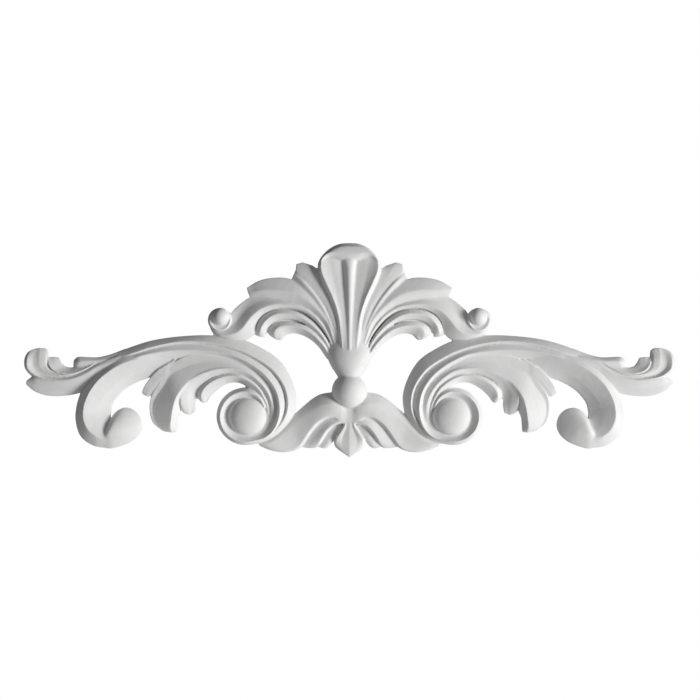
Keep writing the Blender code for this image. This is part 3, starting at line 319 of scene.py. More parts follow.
CUSP_INNER = [
    [(262, 27, 10.5), (272, 23.8, 9.5), (280.5, 22.6, 8), (287, 24.1, 8), (290.5, 28.4, 8),
     (292.3, 32.4, 7.5)],
    [(263, 24.8, 11.5), (273, 21.2, 11.2), (283, 19.4, 10.8), (291.7, 21.2, 10.4), (296.3, 26, 10.2),
     (297.8, 33.4, 8)],
    [(264, 22.8, 12.2), (274, 18.7, 13), (285, 16.9, 13.3), (295.5, 18.4, 13.3), (302, 24.4, 12.5),
     (303.6, 32.6, 8.5)],
]
CUSP_OUTER = [
    [(226, 41.4, 7.5), (242, 35.4, 8.5), (254, 32.9, 9), (264, 33.1, 9.2), (273.5, 33.2, 8.8),
     (277.6, 30, 8)],
    [(229, 35, 10), (243, 30.8, 12.2), (255, 29.4, 12.8), (265, 28.9, 13.2), (273, 28.2, 12.4),
     (278, 26.8, 8.5)],
    [(232, 30, 9.5), (246, 27, 11.8), (258, 24.8, 12), (267, 23.3, 11), (273.5, 22.4, 10),
     (277.8, 22.2, 8)],
]

# The palmette's centre lobe: half of its rails, from the middle rib outwards.
PALM_RIB = [
    [(0, 34, 21.2), (0, 42, 21.8), (0, 57, 22), (0, 75, 21.5), (0, 95, 20.4), (0, 112, 19.3),
     (0, 126, 18), (0, 138, 16.2)],
    [(1.1, 34, 21), (1.1, 42, 21.5), (1.3, 57, 21.6), (1.7, 75, 20.8), (2.3, 95, 19.4),
     (3, 112, 18), (4, 126, 16.8), (6.5, 138, 15.4)],
    [(2.2, 34, 20.5), (2.2, 42, 20.7), (2.6, 57, 20.3), (3.4, 75, 18.9), (4.5, 95, 16.7),
     (5.6, 112, 14.8), (7, 126, 13.7), (11, 138, 13.8)],
    [(4.6, 34, 20.2), (5, 42, 20.4), (6.2, 57, 20.5), (8.2, 75, 19.4), (11.8, 93, 17.8),
     (15.6, 109, 16.3), (18.4, 123, 15.3), (19.5, 136.5, 14)],
    [(6.4, 34, 20), (7, 42, 20.8), (8.6, 57, 21.6), (11, 75, 21.4), (16.4, 92, 20.8), (23.4, 107, 20),
     (28.8, 121, 18.8), (28, 132.5, 16.2)],
    [(8.6, 34, 16), (9.6, 42, 16.5), (11.4, 56, 17.5), (14, 74, 17), (19.8, 90.5, 15.5),
     (26.6, 105, 13), (31.6, 119, 9.5), (30.6, 129.4, 8.5)],
]
PALM_LIP = [
    [(-3, 128.8, 15.6), (7, 130.2, 15.2), (15, 133, 14.8), (21.5, 133.6, 15), (26, 129.5, 15.6),
     (28.4, 120, 15.2)],
    [(-3, 134.6, 17.8), (8, 136, 17.5), (16, 138, 17.2), (23.4, 136.4, 17), (28.6, 130.4, 17),
     (30, 118.5, 15)],
    [(-3, 144, 15.8), (9, 143.6, 15.6), (18, 140.6, 15.2), (25.6, 135.4, 14.6), (30.2, 128.4, 14),
     (30.9, 117, 11.5)],
    [(-3, 148, 8.5), (10, 147, 8.5), (20, 142.3, 8.5), (27.5, 135.2, 8.5), (31.6, 127.8, 8.5),
     (31.8, 115, 8)],
]

# The palmette's side lobes, from the top one down.
LOBE_A = [
    [(8.6, 40, 15), (11.5, 60, 17.3), (16, 81, 16.5), (22.5, 97, 14.5), (27.5, 110, 12),
     (31, 120.2, 9.5), (37, 125.2, 8)],
    [(9.6, 40, 15.5), (13.4, 60, 18.2), (19.2, 80, 17.2), (27, 96.5, 15.4), (35.5, 111, 13),
     (43, 122.2, 10.8), (47, 128.5, 8)],
    [(10.6, 40, 15), (15.4, 60, 17.3), (22.3, 79, 16.4), (32.5, 96, 14.6), (44.8, 111, 12.2),
     (53.6, 118.4, 9.8), (53.6, 126.6, 8)],
]
LOBE_A_STRIP = [
    [(10.2, 40, 14.5), (15, 60, 16.8), (22, 78, 16), (32, 95, 14.3), (44.5, 109.8, 12),
     (54.4, 120.4, 8.5)],
    [(11, 40, 15), (16.2, 60, 18), (23.6, 77.2, 17.8), (34, 94, 16.4), (46, 108, 14), (56, 116.6, 9)],
    [(12, 40, 14), (18.8, 59.5, 15.7), (27.8, 75, 15.2), (40, 92.5, 13.6), (51, 105, 11),
     (58.3, 111.2, 8)],
]
LOBE_B = [
    [(11.6, 39.5, 13.5), (15, 57, 15.3), (19, 73, 15), (28.5, 86, 14.3), (40, 98.5, 13),
     (50, 106.5, 11), (61, 112.2, 8.5), (76, 113, 8), (91, 110, 8), (103.5, 102.8, 8)],
    [(13, 39.3, 14.5), (17.3, 55.5, 17.8), (22.5, 68.5, 18), (31, 79.5, 17.5), (42, 89.5, 16.8),
     (53, 96, 16), (66, 99.5, 15), (80, 100.5, 13.5), (92, 99.8, 11.5), (102.4, 98.4, 8)],
    [(14.4, 39, 13), (19.6, 54.2, 15.3), (25.5, 65.8, 15), (34.5, 75, 14.5), (45.5, 83, 14),
     (58, 88.5, 13.3), (71, 91, 12), (83, 92, 10.5), (92, 93, 9), (100, 93.2, 7.8)],
]
LOBE_C = [
    [(14.2, 39, 12.8), (19.1, 54.8, 14.8), (24.8, 67, 14.5), (33.5, 77.5, 14), (45, 86, 13.5),
     (58, 91.8, 12.5), (74.5, 94.8, 11), (88, 94.7, 9.5), (100, 93.2, 8), (109.5, 87, 8),
     (117.8, 79, 8.5), (121.5, 71.5, 9.8), (128, 67, 10.6), (135.5, 67.5, 10.4), (141.6, 71.5, 8)],
    [(14.9, 38.9, 13), (19.9, 53.6, 15), (25.8, 65.3, 15), (34.6, 75.6, 14.7), (46, 83.7, 14.3),
     (59.3, 88.3, 13.5), (75, 90, 12.5), (88.5, 88.5, 11.3), (99.5, 84, 10.3), (106.5, 77.5, 9.8),
     (112, 70.5, 9.8), (118, 64.5, 10.3), (126, 61.5, 10.5), (134.5, 62.5, 10.3), (141, 67, 8)],
    [(15.6, 38.7, 14), (20.6, 52.8, 16.3), (26.8, 63.8, 16.5), (35.5, 74, 16.2), (47, 81.7, 16),
     (60.5, 85.2, 15.8), (75, 85.6, 15.5), (88, 81.8, 15), (97, 75, 15), (103, 68, 15), (108, 61.5, 15),
     (114.5, 57, 14.5), (123, 55.3, 13.5), (133, 56.5, 11.5), (140, 61.5, 8.5)],
    [(16.2, 38.5, 12.5), (21.5, 52, 14.3), (28, 62.2, 14.3), (37, 72, 14), (48, 79, 13.5), (61, 82, 13),
     (74, 81.5, 12.5), (85, 77.3, 11.5), (91.5, 71, 10.5), (94.5, 64, 9.5), (96, 56.5, 8.5),
     (102, 51, 8.5), (112, 48, 9), (124, 49.5, 8.5), (136, 54.5, 8.5)],
]
LOBE_D = [
    [(16.4, 37.8, 12), (22.8, 51.2, 13.8), (30, 61.3, 13.8), (39, 70.5, 13.5), (50, 77.5, 13),
     (62, 80.5, 12.5), (74, 80, 11.5), (84, 76, 10.5), (90.5, 69.5, 9.5), (94, 62, 8.5),
     (95.8, 55.5, 8)],
    [(17.6, 37.2, 14), (24.2, 50, 16.3), (31.5, 59.5, 16.7), (41, 68, 16.7), (51, 74.3, 16.5),
     (62, 77, 16.2), (72.5, 76.5, 15.8), (81, 72.5, 15.3), (86.8, 66.5, 14.5), (89.8, 60, 13),
     (90.8, 53.6, 8.5)],
    [(18.8, 36.5, 12), (25.6, 48.8, 13.8), (33.2, 57.8, 13.8), (42.5, 65, 13.3), (52, 69.6, 13),
     (62, 71, 12.5), (71, 70.3, 12), (78.3, 67, 11), (82.5, 62.3, 9.5), (84, 57.5, 8.5), (85.3, 53, 8)],
]
LOBE_E = [
    [(17, 34, 12), (25.8, 48.4, 13.6), (34, 57.5, 13.5), (43.5, 64.3, 13), (53.5, 67.5, 12.5),
     (63, 68.7, 12), (72, 67.3, 11), (79, 63.5, 9.5), (82.4, 58, 8), (80, 54.6, 8)],
    [(18.4, 33, 14), (27.3, 46, 16.2), (35.5, 54.5, 16.3), (44.5, 60.8, 16), (54, 63.8, 15.7),
     (62.5, 64.8, 15.3), (69.5, 63.7, 14.8), (74.5, 60.5, 14.3), (76, 56.5, 12.5), (75, 51.3, 8.5)],
    [(20.4, 32, 11.5), (29.6, 43.8, 12), (37, 51, 11.5), (45.5, 56.5, 11), (54, 59.5, 11), (61, 60, 11),
     (66, 58.8, 11), (69.3, 56.5, 11), (71, 54, 10), (71.5, 50.1, 8)],
    [(22.6, 31, 8.5), (30.8, 42.8, 8.5), (38, 49.6, 8.5), (46, 54.4, 8), (54, 56.8, 8), (60, 56.6, 8),
     (63.8, 55, 8), (66, 53, 8), (67.3, 51.5, 8), (69, 50.2, 8)],
]

# The smooth bulb under the palmette, from the neck up: (up, half width, height of the crown)
CALYX = [(13, 11.5, 19.5), (18, 14.8, 20.6), (24, 18.6, 21.8), (31, 21.6, 22.3), (37, 22.6, 21.9),
         (43, 21.6, 20.6), (50, 18.5, 18.6), (57, 14, 16)]

# The garland below the bead, from the middle outwards.
GARLAND = [
    [(-3, -4, 10), (3, -4, 10), (9, -3, 10), (18.2, -2.5, 9.5), (29, -4.3, 8.5), (37, -8.6, 8),
     (44, -14.2, 8), (51.5, -20.8, 8), (57, -26, 8.5), (64, -35, 9), (72, -44, 9.5), (81, -50.5, 9.5),
     (91, -53.6, 9)],
    [(-3, -18.6, 14.4), (3, -18.6, 14.4), (8.6, -16.5, 16.4), (17.5, -14, 17.5), (27, -14.8, 16),
     (36, -19.5, 14.2), (44, -26, 12.8), (51.5, -33, 12), (59, -40.5, 11.6), (67, -47.5, 11.6),
     (75, -52.6, 11.6), (83, -55, 11), (91, -55, 9)],
    [(-3, -29, 14), (3, -28.6, 14.2), (8.6, -27.4, 15.6), (15.5, -26, 16.4), (24, -27.5, 16.6),
     (31.5, -32, 15.8), (38.8, -39.6, 14.6), (44.6, -48.2, 13), (50.8, -56.4, 10.8), (58, -60, 9.5),
     (67.5, -61.3, 9), (79, -59.4, 9), (90, -55.6, 8.6)],
    [(-3, -35.5, 13.4), (3, -35, 13.6), (8.6, -33, 14.4), (14.2, -28.6, 14.8), (22.8, -29, 13.2),
     (30, -33.5, 12), (37.2, -41, 11), (42.9, -49.4, 9.8), (49, -57.6, 8.2),
     (57.5, -61.6, 7.5), (68, -62.8, 7.5), (80, -60.6, 7.5), (90.6, -56.2, 7.5)],
]
GARLAND_LOBE = [
    [(8.6, -29, 13.8), (15, -27.4, 13.4), (23.3, -28.4, 12), (30.6, -33, 11), (37.6, -40.6, 10),
     (43.4, -49.2, 9), (49, -57.4, 7.5)],
    [(8.6, -31, 14.3), (14, -30.6, 14.4), (21, -33, 14), (27.4, -38.6, 13), (33, -46, 11.8),
     (37.8, -53, 10.2), (42, -58.6, 7.5)],
    [(8.6, -33.4, 14.6), (12.2, -33.6, 15.4), (17.6, -36, 15.6), (22.8, -40.9, 15),
     (27.2, -47.3, 13.8), (31, -53.8, 11.4), (34.6, -58.6, 7.5)],
    [(8.4, -34.6, 9.4), (11.8, -35.2, 9.2), (16.4, -37.8, 9.2), (21.3, -42.4, 9.2),
     (25.6, -48.5, 9), (29.2, -54.4, 8.6), (32, -57.2, 7.5)],
    [(7.4, -36.6, 8.6), (11, -38.8, 8.8), (15, -42.6, 9.8), (18.6, -47.4, 10.6), (21.6, -52.4, 10.6),
     (24, -56, 9.8), (26, -59, 7.5)],
    [(6.4, -38.6, 8.3), (9.4, -42, 8.4), (12.6, -45.6, 8.9), (15.2, -49.6, 9.3), (17.6, -53.4, 9.3),
     (19.8, -56.2, 8.6), (22.6, -58.4, 7.5)],
]
PENDANT_HALF = [
    [(0, -27, 13), (0, -36, 14.4), (0, -44, 15), (0, -52, 14.4), (0, -60, 12.2), (0, -67.8, 8)],
    [(2.6, -28, 13), (3, -36, 13.9), (5.4, -43, 14), (7.6, -50.4, 13.4), (6.6, -58.4, 11.2),
     (0.7, -67.5, 8)],
    [(4.6, -29.6, 13.4), (5.4, -36.4, 15), (9.4, -42.8, 15.4), (13.4, -49.6, 14.4),
     (13.4, -56, 10.6), (1.4, -67.2, 8)],
    [(5.6, -30.6, 11.6), (6.8, -37, 10.6), (11, -43.2, 9.6), (15.2, -49.8, 8.8), (14.6, -56.8, 7.8),
     (2.4, -66.4, 7.5)],
]

# Low webs that close the ground between the lobes: outlines at one height, inside the leaves' own
WEB_HEIGHT = 8.2
PALM_WEB = [(-3, 42), (20, 42), (30, 50), (40, 57), (50, 61), (60, 63), (70, 61), (80, 58), (88, 57),
            (95, 57), (104, 54), (112, 53), (112, 75), (105, 85), (97, 92), (85, 100), (60, 104), (45, 110),
            (38, 118), (32, 116), (30.4, 124), (28.4, 132), (24, 137), (16, 140), (-3, 142)]
GARLAND_WEB = [(-3, -12), (12, -14), (30, -20), (45, -30), (60, -45), (75, -52), (75, -58), (60, -59),
               (50, -55), (40, -52), (30, -50), (20, -48), (12, -46), (-3, -50)]
FINGER_WEB = [(80, -16), (79, 0), (88, 12), (104, 20), (122, 21), (140, 18), (153, 10), (160, 1),
              (158, -9), (154, -9.5), (151, -5), (146, 0), (139, 6), (131, 10), (121, 12), (110, 11.5),
              (101, 8), (94, 3), (89, -4), (86, -11), (85, -16)]
CUSP_WEB = [(268, 18), (280, 20.8), (287, 21.8), (292, 26), (300, 28), (305, 22), (298, 13), (282, 13)]

# The swell (+) or hollow (-) of each strip between two rails, in millimetres at its middle
SWELL = {
    "scroll": (0.3, 0.0, 0.5, 0.0, -0.3),
    "leaf": (0.0, 0.2, 0.0),
    "finger_1": (0.3, 0.2, -0.3),
    "finger_2": (0.3, 0.0, -0.3),
    "small_lobe": (0.0, 0.4),
    "arm": (0.3, 0.0, -0.2),
    "tip_lower": (0.2, 0.3, 0.3),
    "tip_cup": (0.0, 0.0, -0.3, 0.0, 0.0),
    "cusp_inner": (0.0, -0.3),
    "cusp_outer": (0.3, 0.3),
    "palm": (0.3, -0.4, 0.2, 0.0, 0.3, 0.3, 0.0, 0.2, -0.4, 0.3),
    "palm_lip": (0.3, 0.5, 0.5),
    "lobe_a": (0.2, 0.2),
    "lobe_a_strip": (0.0, 0.2),
    "lobe_b": (0.2, 0.3),
    "lobe_c": (-0.3, 0.2, 0.3),
    "lobe_d": (0.0, 0.3),
    "lobe_e": (0.0, 0.3, 0.3),
    "garland": (0.8, 0.3, 0.0),
    "garland_lobe": (0.0, 0.2, 0.0, 0.3, 0.2),
    "pendant": (0.0, 0.2, 0.0, 0.0, 0.2, 0.0),
}


def tangents_at_keys(points, spans):
    """The curves' slopes at each key, from the spans before and after it."""
    slopes = np.diff(points, axis=1) / spans[None, :, None]
    tangents = np.empty_like(points)
    tangents[:, 0] = slopes[:, 0]
    tangents[:, -1] = slopes[:, -1]
    before = spans[:-1][None, :, None]
    after = spans[1:][None, :, None]
    tangents[:, 1:-1] = (slopes[:, :-1] * after + slopes[:, 1:] * before) / (before + after)
    return tangents


def spline_through(points, shares):
    """Smooth curves through points of shape (rails, keys, 3), read at the given shares of their length."""
    gaps = np.linalg.norm(np.diff(points, axis=1), axis=2).mean(axis=0)
    knots = np.concatenate([[0.0], np.cumsum(np.sqrt(gaps))])
    spans = np.diff(knots)
    tangents = tangents_at_keys(points, spans)
    lengths = np.concatenate([[0.0], np.cumsum(gaps)])
    at = np.interp(shares * lengths[-1], lengths, knots)
    cell = np.clip(np.searchsorted(knots, at, side="right") - 1, 0, len(spans) - 1)
    span = spans[cell]
    way = ((at - knots[cell]) / span)[None, :, None]
    span = span[None, :, None]
    start = points[:, cell]
    end = points[:, cell + 1]
    leave = tangents[:, cell] * span
    arrive = tangents[:, cell + 1] * span
    return ((2 * way ** 3 - 3 * way ** 2 + 1) * start + (way ** 3 - 2 * way ** 2 + way) * leave
            + (3 * way ** 2 - 2 * way ** 3) * end + (way ** 3 - way ** 2) * arrive)


class Skin:
    """Points and faces of all the leaves, gathered before they are joined."""

    def __init__(self):
        self.points = []
        self.faces = []

    def add_points(self, points):
        """Add design points and return the number of the first."""
        first = len(self.points)
        for across, up, height in points:
            self.points.append((across * MM * SCALE, -height * MM, up * MM * SCALE))
        return first

    def add_grid(self, grid):
        """A closed solid under a grid of design points, with walls straight back."""
        steps, rails, _ = grid.shape
        first = self.add_points(grid.reshape(-1, 3))

        def number(i, j):
            return first + i * rails + j

        for i in range(steps - 1):
            for j in range(rails - 1):
                self.faces.append((number(i, j), number(i, j + 1), number(i + 1, j + 1), number(i + 1, j)))
        rim = [number(i, 0) for i in range(steps)]
        rim += [number(steps - 1, j) for j in range(1, rails)]
        rim += [number(i, rails - 1) for i in range(steps - 2, -1, -1)]
        rim += [number(0, j) for j in range(rails - 2, 0, -1)]
        back = self.add_points([(*point[:2], BACK) for point in grid.reshape(-1, 3)])
        shift = back - first
        for i in range(steps - 1):
            for j in range(rails - 1):
                corners = (number(i, j), number(i + 1, j), number(i + 1, j + 1), number(i, j + 1))
                self.faces.append(tuple(corner + shift for corner in corners))
        for k, here in enumerate(rim):
            there = rim[(k + 1) % len(rim)]
            self.faces.append((here, there, there + shift, here + shift))

    def add_slab(self, outline, height):
        """A closed flat slab with the given outline, from the back up to a height."""
        top = self.add_points([(across, up, height) for across, up in outline])
        foot = self.add_points([(across, up, BACK) for across, up in outline])
        count = len(outline)
        self.faces.append(tuple(top + k for k in range(count)))
        self.faces.append(tuple(foot + k for k in reversed(range(count))))
        for k in range(count):
            beside = (k + 1) % count
            self.faces.append((top + k, foot + k, foot + beside, top + beside))

    def add_turned(self, rings, top):
        """A closed boss from rings of design points, the outer one first, and its top point."""
        sides = len(rings[0])
        middle = self.add_points([top])
        foot = self.add_points([(top[0], top[1], BACK)])
        starts = [self.add_points([(*point[:2], BACK) for point in rings[0]])]
        starts += [self.add_points(ring) for ring in rings]
        for k in range(sides):
            beside = (k + 1) % sides
            for outer, inner in zip(starts, starts[1:]):
                self.faces.append((outer + k, outer + beside, inner + beside, inner + k))
            self.faces.append((starts[-1] + k, starts[-1] + beside, middle))
            self.faces.append((starts[0] + beside, starts[0] + k, foot))


def slices(rails, swells):
    """More rails between the given ones, raised or sunk between them by each strip's swell."""
    fine = [rails[0]]
    for here, there, swell in zip(rails, rails[1:], swells):
        width = np.linalg.norm(there - here, axis=1).mean()
        count = max(LEAST_SLICES, math.ceil(width / SLICE_GAP))
        for k in range(1, count + 1):
            way = k / count
            rail = here + (there - here) * way
            rail[:, 2] += swell * 4 * way * (1 - way)
            fine.append(rail)
    return np.array(fine)


def loft(skin, name, rails):
    """A closed leaf over rails that all have the same number of points."""
    keys = np.array(rails, dtype=float)
    length = np.linalg.norm(np.diff(keys, axis=1), axis=2).sum(axis=1).max()
    shares = np.linspace(0.0, 1.0, max(LEAST_STATIONS, math.ceil(length / STATION_GAP)))
    curves = spline_through(keys, shares)
    skin.add_grid(slices(curves, SWELL[name]).transpose(1, 0, 2))


def both_sides(rails):
    """Rails given from the middle outwards, completed with their mirror images."""
    left = []
    for rail in reversed(rails[1:]):
        left.append([(-across, up, height) for across, up, height in rail])
    return left + rails


def dome(skin, centre, profile):
    """A round boss turned from (radius, height) pairs, the middle first."""
    about_round = profile[-1][0] * 6
    sides = max(LEAST_SIDES, math.ceil(about_round / STATION_GAP))
    angles = [360 * k / sides for k in range(sides)]
    rings = []
    for radius, height in reversed(profile[1:]):
        rings.append(arc(centre, radius, height, angles))
    skin.add_turned(rings, (centre[0], centre[1], profile[0][1]))


def round_profile(radius, top, foot):
    """Pairs of radius and height on a quarter of an ellipse that falls from the top to the foot."""
    pairs = []
    for turn in np.linspace(0.0, 0.5 * math.pi, QUARTER_ROUND_STEPS):
        pairs.append((radius * math.sin(turn), foot + (top - foot) * math.cos(turn)))
    return pairs


def knob(skin):
    """The scroll arm's knob: a soft mound whose rings shrink towards its middle."""
    closed = KNOB_OUTLINE + KNOB_OUTLINE[:1]
    outline = np.array([(across, up, EDGE) for across, up in closed], dtype=float)
    edge = spline_through(outline[None], np.linspace(0.0, 1.0, KNOB_POINTS))[0][:-1]
    middle = np.array(KNOB_CENTRE)
    rings = []
    for share in np.linspace(1.0, KNOB_LEAST_SHARE, KNOB_RINGS):
        ring = edge.copy()
        ring[:, :2] = middle + (edge[:, :2] - middle) * share
        ring[:, 2] = EDGE + (KNOB_HEIGHT - EDGE) * (1 - share ** KNOB_FALL)
        rings.append(ring)
    skin.add_turned(rings, (*KNOB_CENTRE, KNOB_HEIGHT))


def calyx(skin):
    """The smooth bulb under the palmette: half-round sections stacked up the neck."""
    rails = []
    for turn in np.linspace(-0.5 * math.pi, 0.5 * math.pi, BULB_POINTS):
        rail = []
        for up, half, crown in CALYX:
            rail.append((half * math.sin(turn), up, EDGE + (crown - EDGE) * math.cos(turn)))
        rails.append(rail)
    curves = spline_through(np.array(rails, dtype=float), np.linspace(0.0, 1.0, BULB_STATIONS))
    skin.add_grid(curves.transpose(1, 0, 2))


def gather():
    """All the leaves, lobes and bosses of the right half, with the middle ones whole."""
    skin = Skin()
    lofts = [
        ("scroll", SCROLL), ("leaf", LEAF), ("finger_1", FINGER_1), ("finger_2", FINGER_2),
        ("small_lobe", SMALL_LOBE), ("arm", ARM), ("tip_lower", TIP_LOWER), ("tip_cup", TIP_CUP),
        ("cusp_inner", CUSP_INNER), ("cusp_outer", CUSP_OUTER), ("palm", both_sides(PALM_RIB)),
        ("palm_lip", PALM_LIP), ("lobe_a", LOBE_A), ("lobe_a_strip", LOBE_A_STRIP), ("lobe_b", LOBE_B),
        ("lobe_c", LOBE_C), ("lobe_d", LOBE_D), ("lobe_e", LOBE_E), ("garland", GARLAND),
        ("garland_lobe", GARLAND_LOBE), ("pendant", both_sides(PENDANT_HALF)),
    ]
    for name, rails in lofts:
        loft(skin, name, rails)
    for outline in (PALM_WEB, GARLAND_WEB, FINGER_WEB, CUSP_WEB):
        skin.add_slab(outline, WEB_HEIGHT)
    knob(skin)
    calyx(skin)
    eye = round_profile(EYE_RADIUS, EYE_HEIGHT, EYE_FOOT)
    eye.append((FLOOR_RADIUS, FLOOR_HEIGHT))
    dome(skin, EYE_CENTRE, eye)
    dome(skin, BEAD_CENTRE, round_profile(BEAD_RADIUS, BEAD_HEIGHT, BEAD_FOOT))
    dome(skin, CURL_CENTRE, CURL_PROFILE)
    dome(skin, PEARL_CENTRE, round_profile(PEARL_RADIUS, PEARL_HEIGHT, PEARL_FOOT))
    return skin


def evaluated(mesh, name, change):
    """The mesh after the modifiers that change() sets up."""
    carrier = bpy.data.objects.new(name, mesh)
    bpy.context.scene.collection.objects.link(carrier)
    change(carrier.modifiers)
    depsgraph = bpy.context.evaluated_depsgraph_get()
    made = bpy.data.meshes.new_from_object(carrier.evaluated_get(depsgraph))
    bpy.data.objects.remove(carrier, do_unlink=True)
    return made


def one_skin(skin):
    """The gathered leaves as one smooth closed skin."""
    mesh = bpy.data.meshes.new("leaves")
    mesh.from_pydata(skin.points, [], skin.faces)
    shape = bmesh.new()
    shape.from_mesh(mesh)
    bmesh.ops.recalc_face_normals(shape, faces=shape.faces)
    shape.to_mesh(mesh)
    shape.free()

    def voxels(modifiers):
        remesh = modifiers.new("voxels", 'REMESH')
        remesh.mode = 'VOXEL'
        remesh.voxel_size = VOXEL * MM
        smooth = modifiers.new("smooth", 'SMOOTH')
        smooth.factor = SMOOTH_FACTOR
        smooth.iterations = SMOOTH_TIMES

    return evaluated(mesh, "voxels", voxels)


def soften(mesh):
    """Rounder creases near the soft places, where the carving runs together gently."""
    shape = bmesh.new()
    shape.from_mesh(mesh)
    for across, up, half_width, half_height, times in SOFT_PLACES:
        near = []
        for vert in shape.verts:
            aside = abs(vert.co.x / (MM * SCALE) - across)
            above = abs(vert.co.z / (MM * SCALE) - up)
            if aside < half_width and above < half_height and -vert.co.y > SOFT_HEIGHT * MM:
                near.append(vert)
        for _ in range(times):
            bmesh.ops.smooth_vert(shape, verts=near, factor=SMOOTH_FACTOR, use_axis_x=True,
                                  use_axis_y=True, use_axis_z=True)
    shape.to_mesh(mesh)
    shape.free()
    return mesh


def fewer(mesh, triangles):
    """The mesh with about that many triangles."""
    count = sum(len(face.vertices) - 2 for face in mesh.polygons)

    def collapse(modifiers):
        decimate = modifiers.new("fewer", 'DECIMATE')
        decimate.ratio = min(1.0, triangles / count)

    return evaluated(mesh, "fewer", collapse)


def flatten_back(shape):
    """Put every point that is near the back exactly on it."""
    for vert in shape.verts:
        if vert.co.y > -BACK_WITHIN * MM:
            vert.co.y = 0.0


def keep_right_half(shape):
    """Cut along the middle plane and drop the left side."""
    geometry = shape.verts[:] + shape.edges[:] + shape.faces[:]
    bmesh.ops.bisect_plane(shape, geom=geometry, dist=CUT_WITHIN * MM, plane_co=(0, 0, 0),
                           plane_no=(-1, 0, 0), clear_outer=True)


def weld_mirror_image(shape):
    """Add the right half's mirror image and weld the two at the middle plane."""
    copy = bmesh.ops.duplicate(shape, geom=shape.verts[:] + shape.edges[:] + shape.faces[:])
    for item in copy["geom"]:
        if isinstance(item, bmesh.types.BMVert):
            item.co.x = -item.co.x
    flipped = [item for item in copy["geom"] if isinstance(item, bmesh.types.BMFace)]
    bmesh.ops.reverse_faces(shape, faces=flipped)
    middle = [vert for vert in shape.verts if abs(vert.co.x) < WELD_WITHIN * MM]
    bmesh.ops.remove_doubles(shape, verts=middle, dist=WELD_WITHIN * MM)


def shade_smooth(shape):
    """Smooth shading everywhere but at the crisp edge of the back."""
    for face in shape.faces:
        face.smooth = True
    for edge in shape.edges:
        behind = [face for face in edge.link_faces if face.normal.y > LOOKS_BACK]
        edge.smooth = len(behind) != 1


def mirrored(mesh):
    """The skin's right half with a flat back, and its mirror image welded on."""
    shape = bmesh.new()
    shape.from_mesh(mesh)
    flatten_back(shape)
    keep_right_half(shape)
    weld_mirror_image(shape)
    bmesh.ops.triangulate(shape, faces=shape.faces)
    bmesh.ops.recalc_face_normals(shape, faces=shape.faces)
    shade_smooth(shape)
    whole = bpy.data.meshes.new("casting")
    shape.to_mesh(whole)
    shape.free()
    return whole


def noise(tree, place, setting):
    """A noise texture of the given scale and detail."""
    scale, detail = setting
    node = tree.nodes.new("ShaderNodeTexNoise")
    node.inputs["Scale"].default_value = scale
    node.inputs["Detail"].default_value = detail
    tree.links.new(place, node.inputs["Vector"])
    return node.outputs["Fac"]


def ramp(tree, source, colours, span):
    """The first colour below the span of the source's values, the second above, and a blend between."""
    node = tree.nodes.new("ShaderNodeValToRGB")
    for element, position, colour in zip(node.color_ramp.elements, span, colours):
        element.position = position
        element.color = colour
    tree.links.new(source, node.inputs["Fac"])
    return node.outputs["Color"]


def product(tree, first, second):
    """Two colours multiplied."""
    node = tree.nodes.new("ShaderNodeMix")
    node.data_type = 'RGBA'
    node.blend_type = 'MULTIPLY'
    node.inputs["Factor"].default_value = 1.0
    tree.links.new(first, node.inputs[MIX_FIRST])
    tree.links.new(second, node.inputs[MIX_SECOND])
    return node.outputs[MIX_RESULT]


def bump(tree, height, setting):
    """A bump of the given strength and depth."""
    strength, depth = setting
    node = tree.nodes.new("ShaderNodeBump")
    node.inputs["Strength"].default_value = strength
    node.inputs["Distance"].default_value = depth
    tree.links.new(height, node.inputs["Height"])
    return node


def white_paint():
    """Matt white primer with faint unevenness in tone, gloss and surface, and painted shade darkening its
    hollows and creases.
    """
    material = bpy.data.materials.new("white_primer")
    material.use_nodes = True
    tree = material.node_tree
    shader = tree.nodes["Principled BSDF"]
    shader.inputs["Metallic"].default_value = 0.0
    shader.inputs["Specular IOR Level"].default_value = SPECULAR
    place = tree.nodes.new("ShaderNodeTexCoord").outputs["Object"]
    crease_shade_mask = tree.nodes.new("ShaderNodeNewGeometry").outputs["Pointiness"]
    tone = ramp(tree, noise(tree, place, TONE_NOISE), TONES, NOISE_SPAN)
    # Painted shade: the base colour is darkened where the surface is hollow (low pointiness), standing in
    # for the shade that falls in creases
    painted_crease_shade = ramp(tree, crease_shade_mask, CREASE_SHADE_TONES, CREASE_SHADE_SPAN)
    tree.links.new(product(tree, tone, painted_crease_shade), shader.inputs["Base Color"])
    gloss = ramp(tree, noise(tree, place, ROUGHNESS_NOISE), ROUGHNESS, NOISE_SPAN)
    tree.links.new(gloss, shader.inputs["Roughness"])
    fine = bump(tree, noise(tree, place, FINE_NOISE), FINE_BUMP)
    broad = bump(tree, noise(tree, place, BROAD_NOISE), BROAD_BUMP)
    tree.links.new(fine.outputs["Normal"], broad.inputs["Normal"])
    tree.links.new(broad.outputs["Normal"], shader.inputs["Normal"])
    return material


def casting():
    """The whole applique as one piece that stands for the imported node."""
    half = fewer(soften(one_skin(gather())), HALF_TRIANGLES)
    mesh = mirrored(half)
    mesh.materials.append(white_paint())
    piece = bpy.data.objects.new("applique_casting", mesh)
    bpy.context.scene.collection.objects.link(piece)
    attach(piece, "root")
    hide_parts("applique")


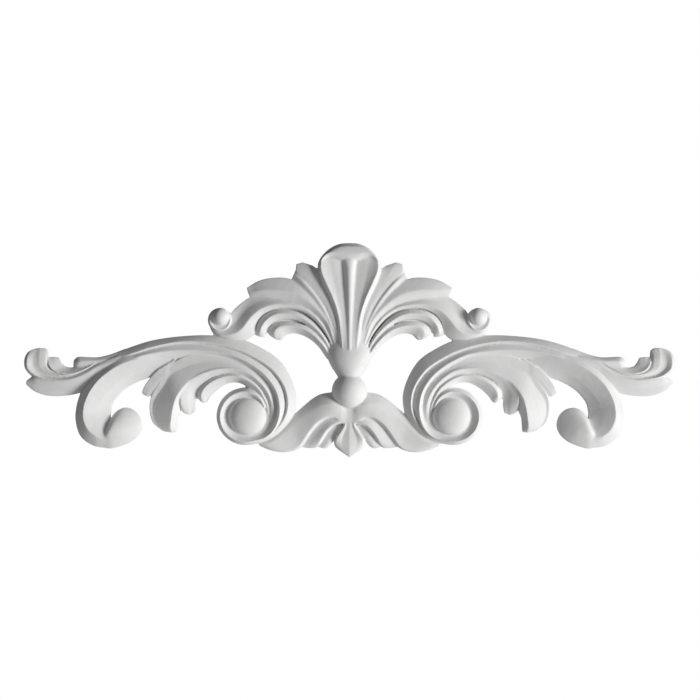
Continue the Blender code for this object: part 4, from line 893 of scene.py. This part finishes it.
def ground():
    """A plain pale floor below the piece."""
    mesh = bpy.data.meshes.new("floor")
    corners = [(-GROUND_HALF, -GROUND_HALF, 0.0), (GROUND_HALF, -GROUND_HALF, 0.0),
               (GROUND_HALF, GROUND_HALF, 0.0), (-GROUND_HALF, GROUND_HALF, 0.0)]
    mesh.from_pydata(corners, [], [(0, 1, 2, 3)])
    floor = bpy.data.objects.new("floor", mesh)
    floor.location = (0.0, 0.0, GROUND_LEVEL)
    bpy.context.scene.collection.objects.link(floor)
    material = bpy.data.materials.new("pale_floor")
    material.use_nodes = True
    shader = material.node_tree.nodes["Principled BSDF"]
    shader.inputs["Base Color"].default_value = GROUND_COLOUR
    shader.inputs["Roughness"].default_value = GROUND_ROUGHNESS
    shader.inputs["Emission Color"].default_value = WHITE
    shader.inputs["Emission Strength"].default_value = GROUND_GLOW
    mesh.materials.append(material)


def surroundings():
    """White studio surroundings, which light the piece less than the camera sees them shine."""
    world = bpy.data.worlds.new("studio")
    bpy.context.scene.world = world
    world.use_nodes = True
    nodes = world.node_tree.nodes
    links = world.node_tree.links
    light = nodes["Background"]
    light.inputs["Color"].default_value = WHITE
    light.inputs["Strength"].default_value = AMBIENT
    seen = nodes.new("ShaderNodeBackground")
    seen.inputs["Color"].default_value = WHITE
    seen.inputs["Strength"].default_value = BACKDROP
    path = nodes.new("ShaderNodeLightPath")
    mix = nodes.new("ShaderNodeMixShader")
    links.new(path.outputs["Is Camera Ray"], mix.inputs["Fac"])
    links.new(light.outputs["Background"], mix.inputs[1])
    links.new(seen.outputs["Background"], mix.inputs[2])
    links.new(mix.outputs["Shader"], nodes["World Output"].inputs["Surface"])


def lamp(name, power, side, place):
    """A square soft lamp that faces the applique and isn't seen itself."""
    data = bpy.data.lights.new(name, 'AREA')
    data.energy = power
    data.size = side
    item = bpy.data.objects.new(name, data)
    item.location = place
    item.visible_camera = False
    towards = Vector((AIM[0], 0.0, AIM[1])) - item.location
    item.rotation_euler = towards.to_track_quat('-Z', 'Y').to_euler()
    bpy.context.scene.collection.objects.link(item)


def camera():
    """A long lens square on to the ornament, so that one pixel of 700 is one millimetre."""
    data = bpy.data.cameras.new("camera")
    data.lens = LENS
    data.sensor_width = SENSOR
    data.clip_end = CLIP_END
    item = bpy.data.objects.new("camera", data)
    distance = VIEW_WIDTH * LENS / SENSOR
    item.location = (AIM[0], -distance - AIM_DEPTH, AIM[1])
    item.rotation_euler = (math.radians(90.0), 0.0, 0.0)
    bpy.context.scene.collection.objects.link(item)
    bpy.context.scene.camera = item


casting()
ground()
surroundings()
for name, power, side, place in LAMPS:
    lamp(name, power, side, place)
camera()
bpy.context.scene.view_settings.view_transform = 'Standard'
